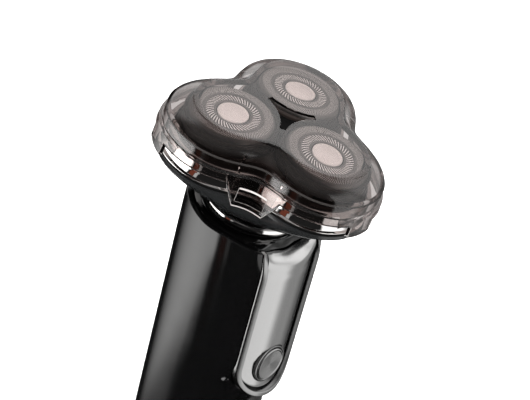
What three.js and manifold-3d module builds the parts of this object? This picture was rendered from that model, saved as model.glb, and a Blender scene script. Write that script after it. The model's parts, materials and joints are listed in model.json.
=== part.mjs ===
// Rotary electric shaver: a near-round handle with a front panel and power button, a tilting neck, and a
// three-cutter shaving head under a clear travel cap.
// Millimetres. Origin at the centre of the flat base, +Z up the handle, front (button side) towards -Y.
import * as THREE from 'three';
import { mergeVertices } from 'three/addons/utils/BufferGeometryUtils.js';
import Module from 'manifold-3d';

const wasm = await Module();
wasm.setup();

// ---------------------------------------------------------------- driving dimensions
const PIVOT_Z = 136;            // height of the neck pivot above the base
const PIVOT_Y = 0.82;           // the head axis crosses the handle axis plane this far behind it
const HEAD_LEAN = 8.7;          // degrees the head leans to the front
const HEAD_UP = 20;             // pivot to the plane of the three shaving heads
const BODY_R = 19.17;           // handle radius at the pivot height
const BODY_TAPER = 0.0095;      // radius lost per mm downwards
const BODY_WALL = 2.0;
const GRIP_RECESS = 5.4;        // how far the front steps back below the panel
const RIM_BACK_Z = 128.8;       // top edge of the shell at the back and sides
const RIM_DIP = 6.3;            // extra drop of that edge at the front
const RIM_IN = 4.9;             // how far the edge moves in at the front
const PANEL_HALF_DEG = 31.5;    // half width of the front panel, degrees about the handle axis
const PANEL_SINK = 1.5;         // the panel lies this far below the raised trim; it comes up flush at the rim
const TRIM_W = 1.45;            // width of the raised trim
const BUTTON_Z = 88.4;
const BUTTON_R = 4.7;
const BUTTON_TRAVEL = 0.6;
const PANEL_END_Z = 80.4;
const UNIT_R = 15;              // circle through the three shaving-head centres
const UNIT_TILT = 4.0;          // each shaving head leans outwards
const UNIT_ANGLES = [-90, 30, 150];
const UNIT_DROP = -0.1;         // plane of the centre discs in the head frame
const FOIL_R = 11.4;
const DISC_R = 4.14;
const POD_R = 12.3;
const FLOAT = 1.2;              // how far a shaving head can sink
const PLATEAU = [21.33, 5.01, -0.41, -0.01];   // lobed outline of the cap's flat top: mean and 3rd, 6th, 9th waves
const SKIRT = [27.01, 5.22, -0.78, 0.11];      // lobed outline of the cap's shoulder
const CAP_TOP = 1.5;
const CAP_SHOULDER = -3.15;
const CAP_STEP = -6.5;
const CAP_WINDOW = -8.9;
const CAP_POST_END = -12.6;
const CAP_TAB_END = -15.6;
const CAP_WALL = 1.0;
const STAR_ARC = 12.15;         // arcs about the head centres that bound the star hole
const GEAR_M = 0.75;            // gear module
const SUN_TEETH = 18, PLANET_TEETH = 22;

const RAD = Math.PI / 180;
const material = (color, roughness, metalness, opacity = 1) =>
  new THREE.MeshStandardMaterial({ color, roughness, metalness, opacity, transparent: opacity < 1 });
const M = {
  gloss_black: material(0x0b0b0c, 0.18, 0.0), smoke: material(0x6d6265, 0.1, 0.0, 0.4),
  steel: material(0xb9b4b4, 0.25, 1.0), disc: material(0xbdb2b3, 0.55, 0.2),
  gunmetal: material(0x3b3838, 0.3, 0.6), chrome: material(0xe6e4e2, 0.06, 1.0),
  dark: material(0x1b1b1c, 0.4, 0.0), bowl: material(0x2c2e2f, 0.3, 0.1),
  panel: material(0x8d8f91, 0.28, 0.85), trim: material(0x6f7173, 0.35, 0.7),
  button: material(0xb5b5b4, 0.3, 1.0), rubber: material(0x141414, 0.8, 0.0),
  nylon: material(0xd8d4c8, 0.6, 0.0), board: material(0x1d5b35, 0.6, 0.0),
  cell: material(0x3f6fae, 0.4, 0.0), brass: material(0xb08d4a, 0.3, 1.0),
  lens: material(0xe8ecef, 0.2, 0.0),
};

// ---------------------------------------------------------------- geometry helpers
// one closed mesh: shared vertices merged, collapsed triangles dropped, faces out
function solid(geometry) {
  const g = geometry.clone();
  for (const a of Object.keys(g.attributes)) if (a !== 'position') g.deleteAttribute(a);
  const w = mergeVertices(g, 1e-4);
  const p = w.attributes.position, ix = w.index.array, keep = [];
  let vol = 0;
  const a = new THREE.Vector3(), b = new THREE.Vector3(), c = new THREE.Vector3();
  for (let i = 0; i < ix.length; i += 3) {
    if (ix[i] === ix[i + 1] || ix[i + 1] === ix[i + 2] || ix[i] === ix[i + 2]) continue;
    keep.push(ix[i], ix[i + 1], ix[i + 2]);
    a.fromBufferAttribute(p, ix[i]); b.fromBufferAttribute(p, ix[i + 1]); c.fromBufferAttribute(p, ix[i + 2]);
    vol += a.dot(b.cross(c));
  }
  if (vol < 0) for (let i = 0; i < keep.length; i += 3) [keep[i + 1], keep[i + 2]] = [keep[i + 2], keep[i + 1]];
  const out = new THREE.BufferGeometry();
  out.setAttribute('position', p);
  out.setIndex(keep);
  return out;
}
// a lathe whose rings are reshaped: at(station, phi) gives the point, phi anticlockwise from +X
function loft(stations, segments, at) {
  const g = new THREE.LatheGeometry(stations.map((s, i) => new THREE.Vector2(1, i)), segments);
  const p = g.attributes.position, n = stations.length;
  for (let i = 0; i <= segments; i++)
    for (let j = 0; j < n; j++) {
      const q = at(stations[j], (i % segments) / segments * 2 * Math.PI);
      p.setXYZ(i * n + j, q[0], q[1], q[2]);
    }
  return solid(g);
}
// plain body of revolution about Z; a profile that doesn't touch the axis is closed on itself
function turned(profile, segments) {
  const pts = profile.slice();
  const open = pts[0][0] < 1e-9 && pts[pts.length - 1][0] < 1e-9;
  if (!open) pts.push(pts[0]);
  return loft(pts, segments, (s, phi) => [s[0] * Math.cos(phi), s[0] * Math.sin(phi), s[1]]);
}
// outline in X,Y pulled from z0 to z1
function prism(outline, z0, z1, holes = []) {
  const s = new THREE.Shape(outline.map(q => new THREE.Vector2(q[0], q[1])));
  for (const h of holes) s.holes.push(new THREE.Path(h.map(q => new THREE.Vector2(q[0], q[1]))));
  return solid(new THREE.ExtrudeGeometry(s, { depth: z1 - z0, bevelEnabled: false }).translate(0, 0, z0));
}
// outline in X,Z pulled along Y from y0 (front) to y1
const prismY = (outline, y0, y1) => solid(prism(outline.map(q => [q[0], q[1]]), 0, y1 - y0).rotateX(Math.PI / 2).translate(0, y1, 0));
const box = (x0, x1, y0, y1, z0, z1) => solid(new THREE.BoxGeometry(x1 - x0, y1 - y0, z1 - z0).translate((x0 + x1) / 2, (y0 + y1) / 2, (z0 + z1) / 2));
const rod = (r, z0, z1, n = 24) => turned([[0, z0], [r, z0], [r, z1], [0, z1]], n);
const circle = (r, n, cx = 0, cy = 0) => Array.from({ length: n }, (_, i) => [cx + r * Math.cos(2 * Math.PI * i / n), cy + r * Math.sin(2 * Math.PI * i / n)]);
const toM = g => { const s = g.index ? g : solid(g); return new wasm.Manifold(new wasm.Mesh({ numProp: 3, vertProperties: new Float32Array(s.attributes.position.array), triVerts: new Uint32Array(s.index.array) })); };
const fromM = m => { const k = m.getMesh(); const g = new THREE.BufferGeometry(); g.setAttribute('position', new THREE.BufferAttribute(new Float32Array(k.vertProperties), 3)); g.setIndex(Array.from(k.triVerts)); return solid(g); };
const cut = (a, ...b) => fromM(b.reduce((m, q) => m.subtract(toM(q)), toM(a)));
const join = (a, ...b) => fromM(b.reduce((m, q) => m.add(toM(q)), toM(a)));
const meet = (a, ...b) => fromM(b.reduce((m, q) => m.intersect(toM(q)), toM(a)));
const smooth = (a, b, x) => { const t = Math.min(1, Math.max(0, (x - a) / (b - a))); return t * t * (3 - 2 * t); };
const lerp = (a, b, t) => a + (b - a) * t;
const lobe = (c, phi) => { const p = 3 * (phi + Math.PI / 2); return c[0] + c[1] * Math.cos(p) + c[2] * Math.cos(2 * p) + c[3] * Math.cos(3 * p); };
const polar = (r, phi, z) => [r * Math.cos(phi), r * Math.sin(phi), z];

// ---------------------------------------------------------------- scene graph
const shaver = new THREE.Group();
const head = new THREE.Group();
const lean = HEAD_LEAN * RAD;
head.rotation.x = lean;
head.position.set(0, PIVOT_Y - HEAD_UP * Math.sin(lean), PIVOT_Z + HEAD_UP * Math.cos(lean));
shaver.add(head);
const units = UNIT_ANGLES.map(deg => {
  const g = new THREE.Group();                 // unit frame: +X points outwards, +Z up its axis
  const turn = new THREE.Group();
  turn.rotation.z = deg * RAD;
  turn.position.set(UNIT_R * Math.cos(deg * RAD), UNIT_R * Math.sin(deg * RAD), UNIT_DROP);
  g.rotation.y = UNIT_TILT * RAD;
  turn.add(g);
  head.add(turn);
  return g;
});
const SIDE = ['front', 'right', 'left'];
const put = (parent, name, geometry, mat) => { const m = new THREE.Mesh(geometry, mat); m.name = name; parent.add(m); return m; };

// ---------------------------------------------------------------- handle
const bodyR = z => BODY_R - BODY_TAPER * (PIVOT_Z - z);
const recess = z => GRIP_RECESS * smooth(93, 71, z) * lerp(0.3, 1, smooth(0, 62, z));
// outline of the handle at height z: a circle whose front half is pulled in below the panel
function section(z, phi, off, front = true) {
  const R = bodyR(z) + off, c = Math.cos(phi), s = Math.sin(phi);
  const d = front && s < 0 ? recess(z) : 0;
  return [R * c, (R - d) * s, z];
}
const rimW = phi => Math.pow((1 - Math.sin(phi)) / 2, 2.5);              // 1 at the front, 0 at the back
const rimZ = phi => RIM_BACK_Z - RIM_DIP * rimW(phi) + 1.5 * smooth(0, 1, Math.sin(phi));
const rimR = phi => BODY_R - 0.25 - RIM_IN * smooth(0.7, 1, -Math.sin(phi));   // only the front moves in
// the upper end: stations u from 0 (z = 112) to 1 (the rim), curving in towards the rim
function upper(u, phi, off, lift = 0) {
  const z = lerp(112, rimZ(phi), u);
  const k = Math.pow(Math.max(0, (u - 0.35) / 0.65), 2.6);
  const R = lerp(bodyR(z), rimR(phi), k) + off + lift * smooth(0.5, 0.93, u);
  return [R * Math.cos(phi), R * Math.sin(phi), z];
}
const N = 28;
const lowZ = [24, 60, 70, 75, 79, 84, 89, 96];
const upU = [0, 0.45, 0.68, 0.86, 1];
function handleSolid(off, front, z0 = 0, foot = true, lift = 0) {
  const st = [{ axis: true, z: z0 }];
  if (foot) st.push({ z: z0, o: -0.9 }, { z: z0 + 0.8, o: -0.25 }, { z: z0 + 2.4, o: 0 });
  else st.push({ z: z0, o: 0 });
  for (const z of lowZ) if (z > z0 + 3.1) st.push({ z, o: 0 });
  for (const u of upU) st.push({ u });
  st.push({ axis: true, u: 1 });
  return loft(st, N, (s, phi) => {
    if (s.axis) return s.u ? [0, 0, 125.5] : [0, 0, s.z];
    return s.u !== undefined ? upper(s.u, phi, off, lift) : section(s.z, phi, off + s.o, front);
  });
}
// tongue-shaped outline of the front panel in X,Z: straight sides, round end
function tongue(grow, top = 140) {
  const pts = [], half = z => bodyR(z) * Math.sin(PANEL_HALF_DEG * RAD) + grow;
  pts.push([half(126), top], [half(112), 112], [half(98), 98]);
  const zc = 89.0, r = half(zc), ry = zc - PANEL_END_Z + grow;
  for (let i = 0; i <= 8; i++) { const t = i / 8 * Math.PI; pts.push([r * Math.cos(t), zc - ry * Math.sin(t)]); }
  pts.push([-half(98), 98], [-half(112), 112], [-half(126), top]);
  return pts;
}
const cavity = (() => {
  const st = [{ axis: true, z: -2 }];
  for (const z of [-2, 6, 30, 60, 70, 75, 79, 84, 89, 96, 112, 118.5]) st.push({ z });
  st.push({ axis: true, z: 118.5 });
  return loft(st, N, (s, phi) => s.axis ? [0, 0, s.z] : section(s.z, phi, -BODY_WALL - (s.z > 112 ? 1.6 : 0) - (1.2 + 1.4 * smooth(78, 89, s.z)) * smooth(-0.2, -0.8, Math.sin(phi)), true));
})();
// the opening at the top: a seat 3 mm below the rim, which the collar fills
const mouth = (inset, depth) => loft([0, 1, 2, 3], N, (s, phi) => {
  if (s === 0) return [0, 0, 117.5];
  if (s === 3) return [0, 0, 150];
  const q = upper(1, phi, -inset);
  return [q[0], q[1], q[2] + (s === 1 ? -depth : 18)];
});
const islandCore = meet(handleSolid(-1.9, false, 40, false), prismY(tongue(TRIM_W, 119), -30, -9));
let shell = join(handleSolid(0, true), islandCore);
shell = cut(shell,
  meet(handleSolid(2.5, false, 40, false), prismY(tongue(TRIM_W + 0.3), -30, 0), (() => {   // seat of panel and trim
    const inner = handleSolid(-PANEL_SINK - 1.5, false, 30, false, PANEL_SINK - 0.1);
    return cut(box(-25, 25, -30, 0, 60, 140), inner);
  })()),
  cavity,
  mouth(1.3, 3.2),
  (() => { const m = new THREE.CylinderGeometry(13.2, 13.2, 22, 24).rotateX(Math.PI / 2 + lean).translate(0, 2.66, 124); return solid(m); })(), // neck mouth
  solid(new THREE.CylinderGeometry(5.9, 5.9, 30, 24).translate(0, -20, BUTTON_Z)),   // button hole
  solid(new THREE.CylinderGeometry(0.95, 0.95, 12, 12).translate(-12.0, -13, 84.8)),  // light hole
  box(-4.75, 4.75, 8, 25, 10.1, 13.9),                         // charging socket mouth
);
put(shaver, 'handle_shell', shell, M.gloss_black);

const between = (offOut, liftOut, offIn) => cut(handleSolid(offOut, false, 40, false, liftOut), handleSolid(offIn, false, 30, false, PANEL_SINK - 0.1), mouth(1.0, 3.0));
const buttonCut = r => solid(new THREE.CylinderGeometry(r, r, 30, 24).translate(0, -20, BUTTON_Z));
put(shaver, 'front_panel', cut(meet(between(-PANEL_SINK, PANEL_SINK - 0.1, -PANEL_SINK - 1.2), prismY(tongue(-0.25), -30, -5)), buttonCut(5.75)), M.panel);
put(shaver, 'panel_trim', cut(meet(between(0.3, 0, -PANEL_SINK - 1.2), prismY(tongue(TRIM_W), -30, -5)), prismY(tongue(0.05), -31, -4)), M.trim);

// power button, its bezel and the parts behind it
const alongFront = g => g.rotateX(Math.PI / 2);      // +Z of a turned piece points to the front
put(shaver, 'button_bezel', solid(alongFront(turned([[4.95, 14.2], [5.45, 14.2], [5.45, 17.4], [4.95, 17.55]], 28)).translate(0, 0, BUTTON_Z)), M.chrome);
put(shaver, 'power_button', solid(alongFront(turned([[0, 12.9], [1.3, 12.9], [1.3, 15.4], [4.6, 15.4], [BUTTON_R, 15.6], [BUTTON_R, 17.5], [4.4, 17.8], [0, 17.55]], 28)).translate(0, 0, BUTTON_Z)), M.button);
put(shaver, 'tact_switch', join(box(-3, 3, -10.2, -7.9, BUTTON_Z - 3, BUTTON_Z + 3), solid(alongFront(rod(1.7, 10.0, 12.2, 12)).translate(0, 0, BUTTON_Z))), M.dark);
put(shaver, 'circuit_board', box(-7.5, 7.5, -7.6, -6.4, 62, 106), M.board);
put(shaver, 'charge_light', solid(new THREE.CylinderGeometry(0.65, 0.65, 3.4, 12).translate(-12.0, -11.25, 84.8)), M.lens);
put(shaver, 'battery_cell', (() => turned([[0, 14], [7, 14], [7.2, 14.3], [7.2, 62.6], [6.8, 63], [2.6, 63], [2.6, 64], [0, 64]], 18).translate(0, 2.8, 0))(), M.cell);
put(shaver, 'chassis', (() => {
  const plate = join(box(-9.8, 9.8, -6.1, -4.9, 11, 112), box(-9.8, -8.4, -6.0, 6, 11, 112), box(8.4, 9.8, -6.0, 6, 11, 112),
    box(-9.8, 9.8, -6.1, 10.4, 66.5, 69.0), box(-9.8, 9.8, -6.1, 6, 11, 12.2));
  return cut(plate, solid(new THREE.CylinderGeometry(3.2, 3.2, 8, 20).rotateX(Math.PI / 2).translate(0, 3, 67.7)));
})(), M.dark);
put(shaver, 'charge_socket', (() => {
  const s = new THREE.Shape(); const w = 4.47, h = 1.63;
  const loop = (W, H) => { const q = []; for (let i = 0; i < 24; i++) { const t = i / 24 * 2 * Math.PI; const c = Math.cos(t), n = Math.sin(t); q.push([Math.sign(c) * (W - H) + H * c, H * n]); } return q; };
  const outer = prism(loop(w, h), 0, 7.3), inner = prism(loop(w - 0.35, h - 0.35), 1.2, 8);
  return solid(cut(outer, inner).rotateX(-Math.PI / 2).translate(0, 10.4, 12.0));
})(), M.chrome);
const baseOff = phi => -BODY_WALL - 0.3 - 1.2 * smooth(-0.2, -0.8, Math.sin(phi));
put(shaver, 'base_cap', join(loft([[0, 0, 1], [0, -0.4], [0.4, 0], [4.6, 0], [4.6, -2.0], [2.4, -2.0], [2.4, 0, 1]], N, (q, phi) => q[2] ? [0, 0, q[0]] : section(q[0], phi, baseOff(phi) + q[1])),
  box(-5.5, 5.5, 9.9, 13.0, 2.0, 9.8)), M.dark);
for (const [i, x] of [[0, -9.5], [1, 9.5]])
  put(shaver, i ? 'base_screw_right' : 'base_screw_left', turned([[0, 2.7], [2.0, 2.7], [2.0, 3.6], [1.0, 3.9], [1.0, 6.6], [0, 7.4]], 12).translate(x, 0, 0), M.steel);

// ---------------------------------------------------------------- neck (head frame, z measured from the disc plane)
const neckZ = -HEAD_UP;
put(shaver, 'collar_ring', (() => {
  // gloss collar between the shell's edge and the neck opening; its outer edge follows the shell's rim
  const st = ['a', 'b', 'c', 'd', 'e', 'f', 'a'];
  const tilt = (r, phi, h) => { // a point on the tilted neck circle, h along the head axis
    const x = r * Math.cos(phi), y = r * Math.sin(phi);
    return [x, PIVOT_Y + y * Math.cos(lean) - h * Math.sin(lean), PIVOT_Z + y * Math.sin(lean) + h * Math.cos(lean)];
  };
  return loft(st, N, (s, phi) => {
    const top = upper(1, phi, -1.6), low = top;
    if (s === 'a') return [top[0], top[1], top[2] + 0.5];
    if (s === 'b') { const q = tilt(14.6, phi, -8.8); return [lerp(top[0], q[0], 0.35), lerp(top[1], q[1], 0.35), lerp(top[2] + 0.5, q[2], 0.75)]; }
    if (s === 'c') return tilt(14.1, phi, -8.5);
    if (s === 'd') return tilt(13.25, phi, -8.7);
    if (s === 'e') { const q = tilt(12.9, phi, -12); return [lerp(low[0], q[0], 0.9), lerp(low[1], q[1], 0.9), low[2] - 2.9]; }
    if (s === 'f') return [low[0], low[1], low[2] - 2.9];
  });
})(), M.gloss_black);
const inNeck = (g, dz = 0) => solid(g.translate(0, 0, dz));
put(head, 'neck_ring', turned([[12.4, -28.1], [13.4, -28.1], [13.95, -27.7], [13.9, -26.1], [13.5, -25.6], [12.4, -25.6]], 28), M.chrome);
put(head, 'neck_boot', turned([[10.6, -33.4], [12.0, -33.4], [12.0, -31.0], [11.5, -30.8], [11.5, -29.2], [12.9, -29.0], [12.9, -28.4], [10.6, -28.4]], 24), M.rubber);
put(head, 'drive_shaft', (() => {
  const shaft = turned([[0, -40.4], [1.15, -40.4], [1.15, -17.6], [0, -17.6]], 16);
  const hex = turned([[0, -17.8], [1.1, -17.8], [1.75, -16.6], [1.75, -14.8], [1.2, -13.8], [0, -13.8]], 6);
  return join(shaft, hex);
})(), M.steel);
put(head, 'motor', turned([[1.45, -37.2], [3.0, -37.2], [3.0, -38.4], [7.6, -38.4], [8.0, -38.8], [8.0, -56.0], [7.6, -56.4], [2.6, -56.4], [2.6, -57.6], [0, -57.6], [0, -41.0], [1.45, -41.0]], 16), M.steel);
put(head, 'neck_post', (() => {
  const tube = turned([[4.6, -36.7], [9.9, -36.7], [9.9, -35.2], [6.0, -35.2], [6.0, -24.2], [4.6, -24.2]], 16);
  const ears = [-1, 1].map(s => box(Math.min(s * 4.9, s * 6.4), Math.max(s * 4.9, s * 6.4), -2.2, 2.2, -26.5, neckZ + 2.4));
  const holes = [solid(new THREE.CylinderGeometry(1.38, 1.38, 20, 14).rotateZ(Math.PI / 2).translate(0, 0, neckZ))];
  return cut(join(tube, ...ears), ...holes, solid(new THREE.CylinderGeometry(1.1, 1.1, 8, 10).rotateX(Math.PI / 2).translate(-8.2, 0, -36)), solid(new THREE.CylinderGeometry(1.1, 1.1, 8, 10).rotateX(Math.PI / 2).translate(8.2, 0, -36)));
})(), M.dark);
for (const s of [-1, 1])
  put(head, s < 0 ? 'motor_screw_left' : 'motor_screw_right', turned([[0, -38.1], [0.75, -38.1], [0.75, -34.9], [1.4, -34.9], [1.4, -34.0], [0, -34.0]], 10).translate(s * 8.2, 0, 0), M.steel);

// gimbal: pitches about X in the post's ears, and carries the head socket on its front and back trunnions
put(head, 'gimbal_ring', (() => {
  const ring = turned([[7.0, neckZ - 1.7], [8.6, neckZ - 1.7], [8.6, neckZ + 1.7], [7.0, neckZ + 1.7]], 24);
  const pin = (s, x0, x1) => solid(new THREE.CylinderGeometry(1.28, 1.28, x1 - x0, 14).rotateZ(Math.PI / 2).translate(s * (x0 + x1) / 2, 0, neckZ));
  const pinY = s => solid(new THREE.CylinderGeometry(1.28, 1.28, 2.2, 14).translate(0, s * 9.4, neckZ));
  return join(ring, pin(-1, 5.2, 7.3), pin(1, 5.2, 7.3), pinY(-1), pinY(1));
})(), M.nylon);
put(head, 'head_socket', (() => {
  const cup = turned([[9.3, -24.6], [11.4, -24.6], [11.4, -15.6], [10.6, -15.1], [9.3, -15.1]], 24);
  return cut(cup, solid(new THREE.CylinderGeometry(1.38, 1.38, 40, 14).translate(0, 0, neckZ)));
})(), M.dark);

// ---------------------------------------------------------------- shaving unit
const rimOff = -2.0;
put(head, 'head_bowl', (() => {
  const k = (s, t, phi) => lerp(lobe(SKIRT, phi), s, t);    // s = round radius, t = how round
  const st = [
    [12.35, 1, -24.0], [14.6, 1, -24.0], [19.0, 0.78, -20.6], [22.5, 0.55, -17.8], [26.0, 0.25, -16.0], [27, 0, -14.8], [27, 0, -13.9],
    [26, 0, -13.9], [24.0, 0.3, -15.6], [16.0, 0.8, -20.2], [12.35, 1, -22.0],
  ];
  const off = [0, 0, -0.6, -0.9, -1.2, -0.9, -1.1, -2.6, -2.4, -1.0, 0];
  st.push(st[0]); off.push(off[0]);
  return loft(st.map((s, i) => [...s, off[i]]), 36, (s, phi) => polar(k(s[0], s[1], phi) + s[3], phi, s[2]));
})(), M.bowl);
put(head, 'rim_band', (() => {
  const st = [[-1.3, -13.55], [-1.15, -13.0], [-1.9, -12.5], [-2.1, -7.3], [-3.6, -7.0], [-3.6, -13.55], [-1.3, -13.55]];
  return loft(st, 36, (s, phi) => polar(lobe(SKIRT, phi) + s[0], phi, s[1]));
})(), M.chrome);
put(head, 'gear_plate', cut(
  loft([{ axis: 1, z: -13.5 }, { z: -13.5 }, { z: -12.2 }, { axis: 1, z: -12.2 }], 36, (s, phi) => s.axis ? [0, 0, s.z] : polar(lobe(SKIRT, phi) - 4.0, phi, s.z)),
  rod(3.95, -16, -10, 20)), M.dark);

// gears: outline with trapezoid teeth
function gearOutline(teeth, phase) {
  const r = GEAR_M * teeth / 2, ro = r + 0.6, ri = r - 0.85, pts = [];
  for (let i = 0; i < teeth; i++) {
    const a = phase + i / teeth * 2 * Math.PI, w = (half, rad) => half / rad;
    for (const [rad, d] of [[ri, -w(0.72, ri)], [ro, -w(0.26, ro)], [ro, w(0.26, ro)], [ri, w(0.72, ri)]]) pts.push([rad * Math.cos(a + d), rad * Math.sin(a + d)]);
  }
  return pts;
}
const GEAR0 = -11.8, GEAR1 = -9.6;
put(head, 'drive_gear', (() => {
  const wheel = prism(gearOutline(SUN_TEETH, -Math.PI / 2), GEAR0, GEAR1);
  const hub = turned([[2.75, -16.6], [3.6, -16.6], [3.6, -11.0], [2.75, -11.0]], 18);
  return cut(join(wheel, hub), rod(2.75, -17, -12.4, 18));
})(), M.nylon);
UNIT_ANGLES.forEach((deg, k) => {
  const a = deg * RAD, gx = UNIT_R * Math.cos(a), gy = UNIT_R * Math.sin(a);
  // the tooth gap faces the drive gear's tooth
  const g = prism(gearOutline(PLANET_TEETH, a + Math.PI + Math.PI / PLANET_TEETH), GEAR0, GEAR1);
  const bored = cut(join(g, rod(2.1, GEAR1 - 0.1, -7.6, 12)), rod(1.2, -13, -7, 12));
  put(head, 'cutter_gear_' + SIDE[k], solid(bored.translate(gx, gy, 0)), M.nylon);
  put(head, 'spindle_' + SIDE[k], solid(join(rod(0.9, -11.9, -5.8, 12), turned([[0, -6.0], [0.9, -6.0], [1.4, -5.6], [1.4, -4.7], [0.8, -4.3], [0, -4.3]], 6)).translate(gx, gy, 0)), M.steel);
});

// head frame: the deck that holds the three heads, with a raised three-armed centre
put(head, 'head_frame', (() => {
  const deck = loft([{ axis: 1, z: -8.9 }, { z: -8.9 }, { z: -7.3 }, { axis: 1, z: -7.3 }], 36, (s, phi) => s.axis ? [0, 0, s.z] : polar(lobe(SKIRT, phi) - 4.0, phi, s.z));
  const holes = UNIT_ANGLES.map(d => rod(3.6, -10, -6, 16).translate(UNIT_R * Math.cos(d * RAD), UNIT_R * Math.sin(d * RAD), 0));
  const wall = cut(
    loft([{ axis: 1, z: -7.6 }, { z: -7.6 }, { z: -4.2 }, { axis: 1, z: -4.2 }], 36, (s, phi) => s.axis ? [0, 0, s.z] : polar(lobe(SKIRT, phi) - 4.0, phi, s.z)),
    ...UNIT_ANGLES.map(d => rod(POD_R + 0.75, -8, -3, 24).translate((UNIT_R) * Math.cos(d * RAD), UNIT_R * Math.sin(d * RAD), 0)));
  const m = cut(join(deck, wall), ...holes);
  return m;
})(), M.gunmetal);
put(head, 'centre_star', (() => {
  const body = cut(rod(9.6, -4.0, -0.9, 24), ...UNIT_ANGLES.map(d => {
    return rod(POD_R + 0.55, -6, 3, 30).translate((UNIT_R) * Math.cos(d * RAD), UNIT_R * Math.sin(d * RAD), 0);
  }));
  return body;
})(), M.gloss_black);

const springGeometry = () => {
  class Coil extends THREE.Curve {
    getPoint(t, out = new THREE.Vector3()) { const a = t * 2 * Math.PI * 2; return out.set(2.75 * Math.cos(a), 2.75 * Math.sin(a), lerp(-9.2, -6.2, t)); }
  }
  const c = new Coil(), s = new THREE.Shape(circle(0.26, 5).map(q => new THREE.Vector2(q[0], q[1])));
  return solid(new THREE.ExtrudeGeometry(s, { steps: 24, bevelEnabled: false, extrudePath: c }));
};
units.forEach((u, k) => {
  const name = n => n + '_' + SIDE[k];
  put(u, name('centre_disc'), turned([[0, -1.0], [3.6, -1.0], [DISC_R, -0.5], [DISC_R, -0.1], [DISC_R - 0.25, 0], [0, 0.02]], 20), M.disc);
  put(u, name('foil'), turned([[4.45, -0.75], [4.45, -0.1], [10.3, -0.1], [11.1, -0.6], [FOIL_R, -1.3], [FOIL_R, -2.9], [10.8, -2.9], [10.8, -1.35], [10.2, -0.75]], 22), M.steel);
  put(u, name('pod'), turned([[11.65, -1.1], [12.0, -1.1], [POD_R, -1.6], [POD_R, -4.5], [11.9, -4.9], [9.9, -4.9], [9.9, -3.2], [11.65, -3.2]], 22), M.gunmetal);
  put(head, name('float_spring'), solid(springGeometry().translate(UNIT_R * Math.cos(UNIT_ANGLES[k] * RAD), UNIT_R * Math.sin(UNIT_ANGLES[k] * RAD), 0)), M.steel);
  put(u, name('cutter'), (() => {
    const ring = turned([[6.3, -2.5], [9.4, -2.5], [9.4, -1.95], [6.3, -1.95]], 14);
    const hub = turned([[0.0, -2.5], [3.0, -2.5], [3.0, -1.9], [0.0, -1.9]], 10);
    const sleeve = turned([[2.05, -5.4], [2.65, -5.4], [2.65, -2.4], [2.05, -2.4]], 10);
    const spokes = [0, 1, 2].map(i => solid(new THREE.BoxGeometry(5.2, 1.6, 0.55).translate(4.4, 0, -2.22).rotateZ(i * 2 * Math.PI / 3)));
    const blades = Array.from({ length: 6 }, (_, i) => solid(new THREE.BoxGeometry(3.3, 0.35, 1.05).rotateX(0.35).translate(7.85, 0, -1.6).rotateZ(i * 2 * Math.PI / 6)));
    return join(ring, hub, sleeve, ...spokes, ...blades);
  })(), M.steel);
});

// ---------------------------------------------------------------- travel cap
put(head, 'protective_cap', (() => {
  const P = phi => lobe(PLATEAU, phi), S = phi => lobe(SKIRT, phi);
  const st = [
    phi => [0, CAP_TOP], phi => [P(phi) - 1.1, CAP_TOP], phi => [P(phi), CAP_TOP - 0.35],
    phi => [lerp(P(phi), S(phi), 0.55) + 0.45, -0.75], phi => [S(phi), CAP_SHOULDER],
    phi => [S(phi) + 0.15, CAP_STEP + 0.3], phi => [S(phi) + 0.9, CAP_STEP - 0.3], phi => [S(phi) + 1.0, CAP_TAB_END],
    phi => [S(phi) + 0.0, CAP_TAB_END], phi => [S(phi) - 0.1, CAP_STEP - 0.6], phi => [S(phi) - CAP_WALL + 0.15, CAP_STEP + 0.1],
    phi => [S(phi) - CAP_WALL - 0.05, CAP_SHOULDER - 0.4],
    phi => [lerp(P(phi), S(phi), 0.5) - 0.1, -1.25], phi => [P(phi) - 0.5, CAP_TOP - 0.7], phi => [0, CAP_TOP - 0.7],
  ];
  const full = loft(st, 48, (s, phi) => { const q = s(phi); return polar(q[0], phi, q[1]); });
  const keep = [box(-50, 50, -50, 50, CAP_WINDOW, 10)];
  for (const d of UNIT_ANGLES) {                                       // posts at the lobe tips
    keep.push(solid(new THREE.BoxGeometry(20, 8.0, 8).translate(31, 0, CAP_POST_END + 4).rotateZ(d * RAD)));
  }
  for (const d of [-30, 90, 210]) {                                    // tongues in the valleys
    const t = prism([[-6.7, CAP_WINDOW + 0.5], [-6.7, CAP_WINDOW - 1.0], [-3.9, CAP_TAB_END - 0.1], [3.9, CAP_TAB_END - 0.1], [6.7, CAP_WINDOW - 1.0], [6.7, CAP_WINDOW + 0.5]], 0, 20);
    // outline (y, z) pulled along the outward direction
    t.applyMatrix4(new THREE.Matrix4().set(0, 0, 1, 12, 1, 0, 0, 0, 0, 1, 0, 0, 0, 0, 0, 1)).rotateZ(d * RAD);
    keep.push(solid(t));
  }
  const zone = keep.slice(1).reduce((m, q) => m.add(toM(q)), toM(keep[0]));
  const star = rod(7.4, -2, 4, 18);
  const starCut = cut(star, ...UNIT_ANGLES.map(d => rod(STAR_ARC, -3, 5, 30).translate(UNIT_R * Math.cos(d * RAD), UNIT_R * Math.sin(d * RAD), 0)));
  return fromM(toM(full).intersect(zone).subtract(toM(starCut)));
})(), M.smoke);

export default shaver;
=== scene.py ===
import bpy, bmesh, math, json
from mathutils import Matrix, Vector


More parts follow.
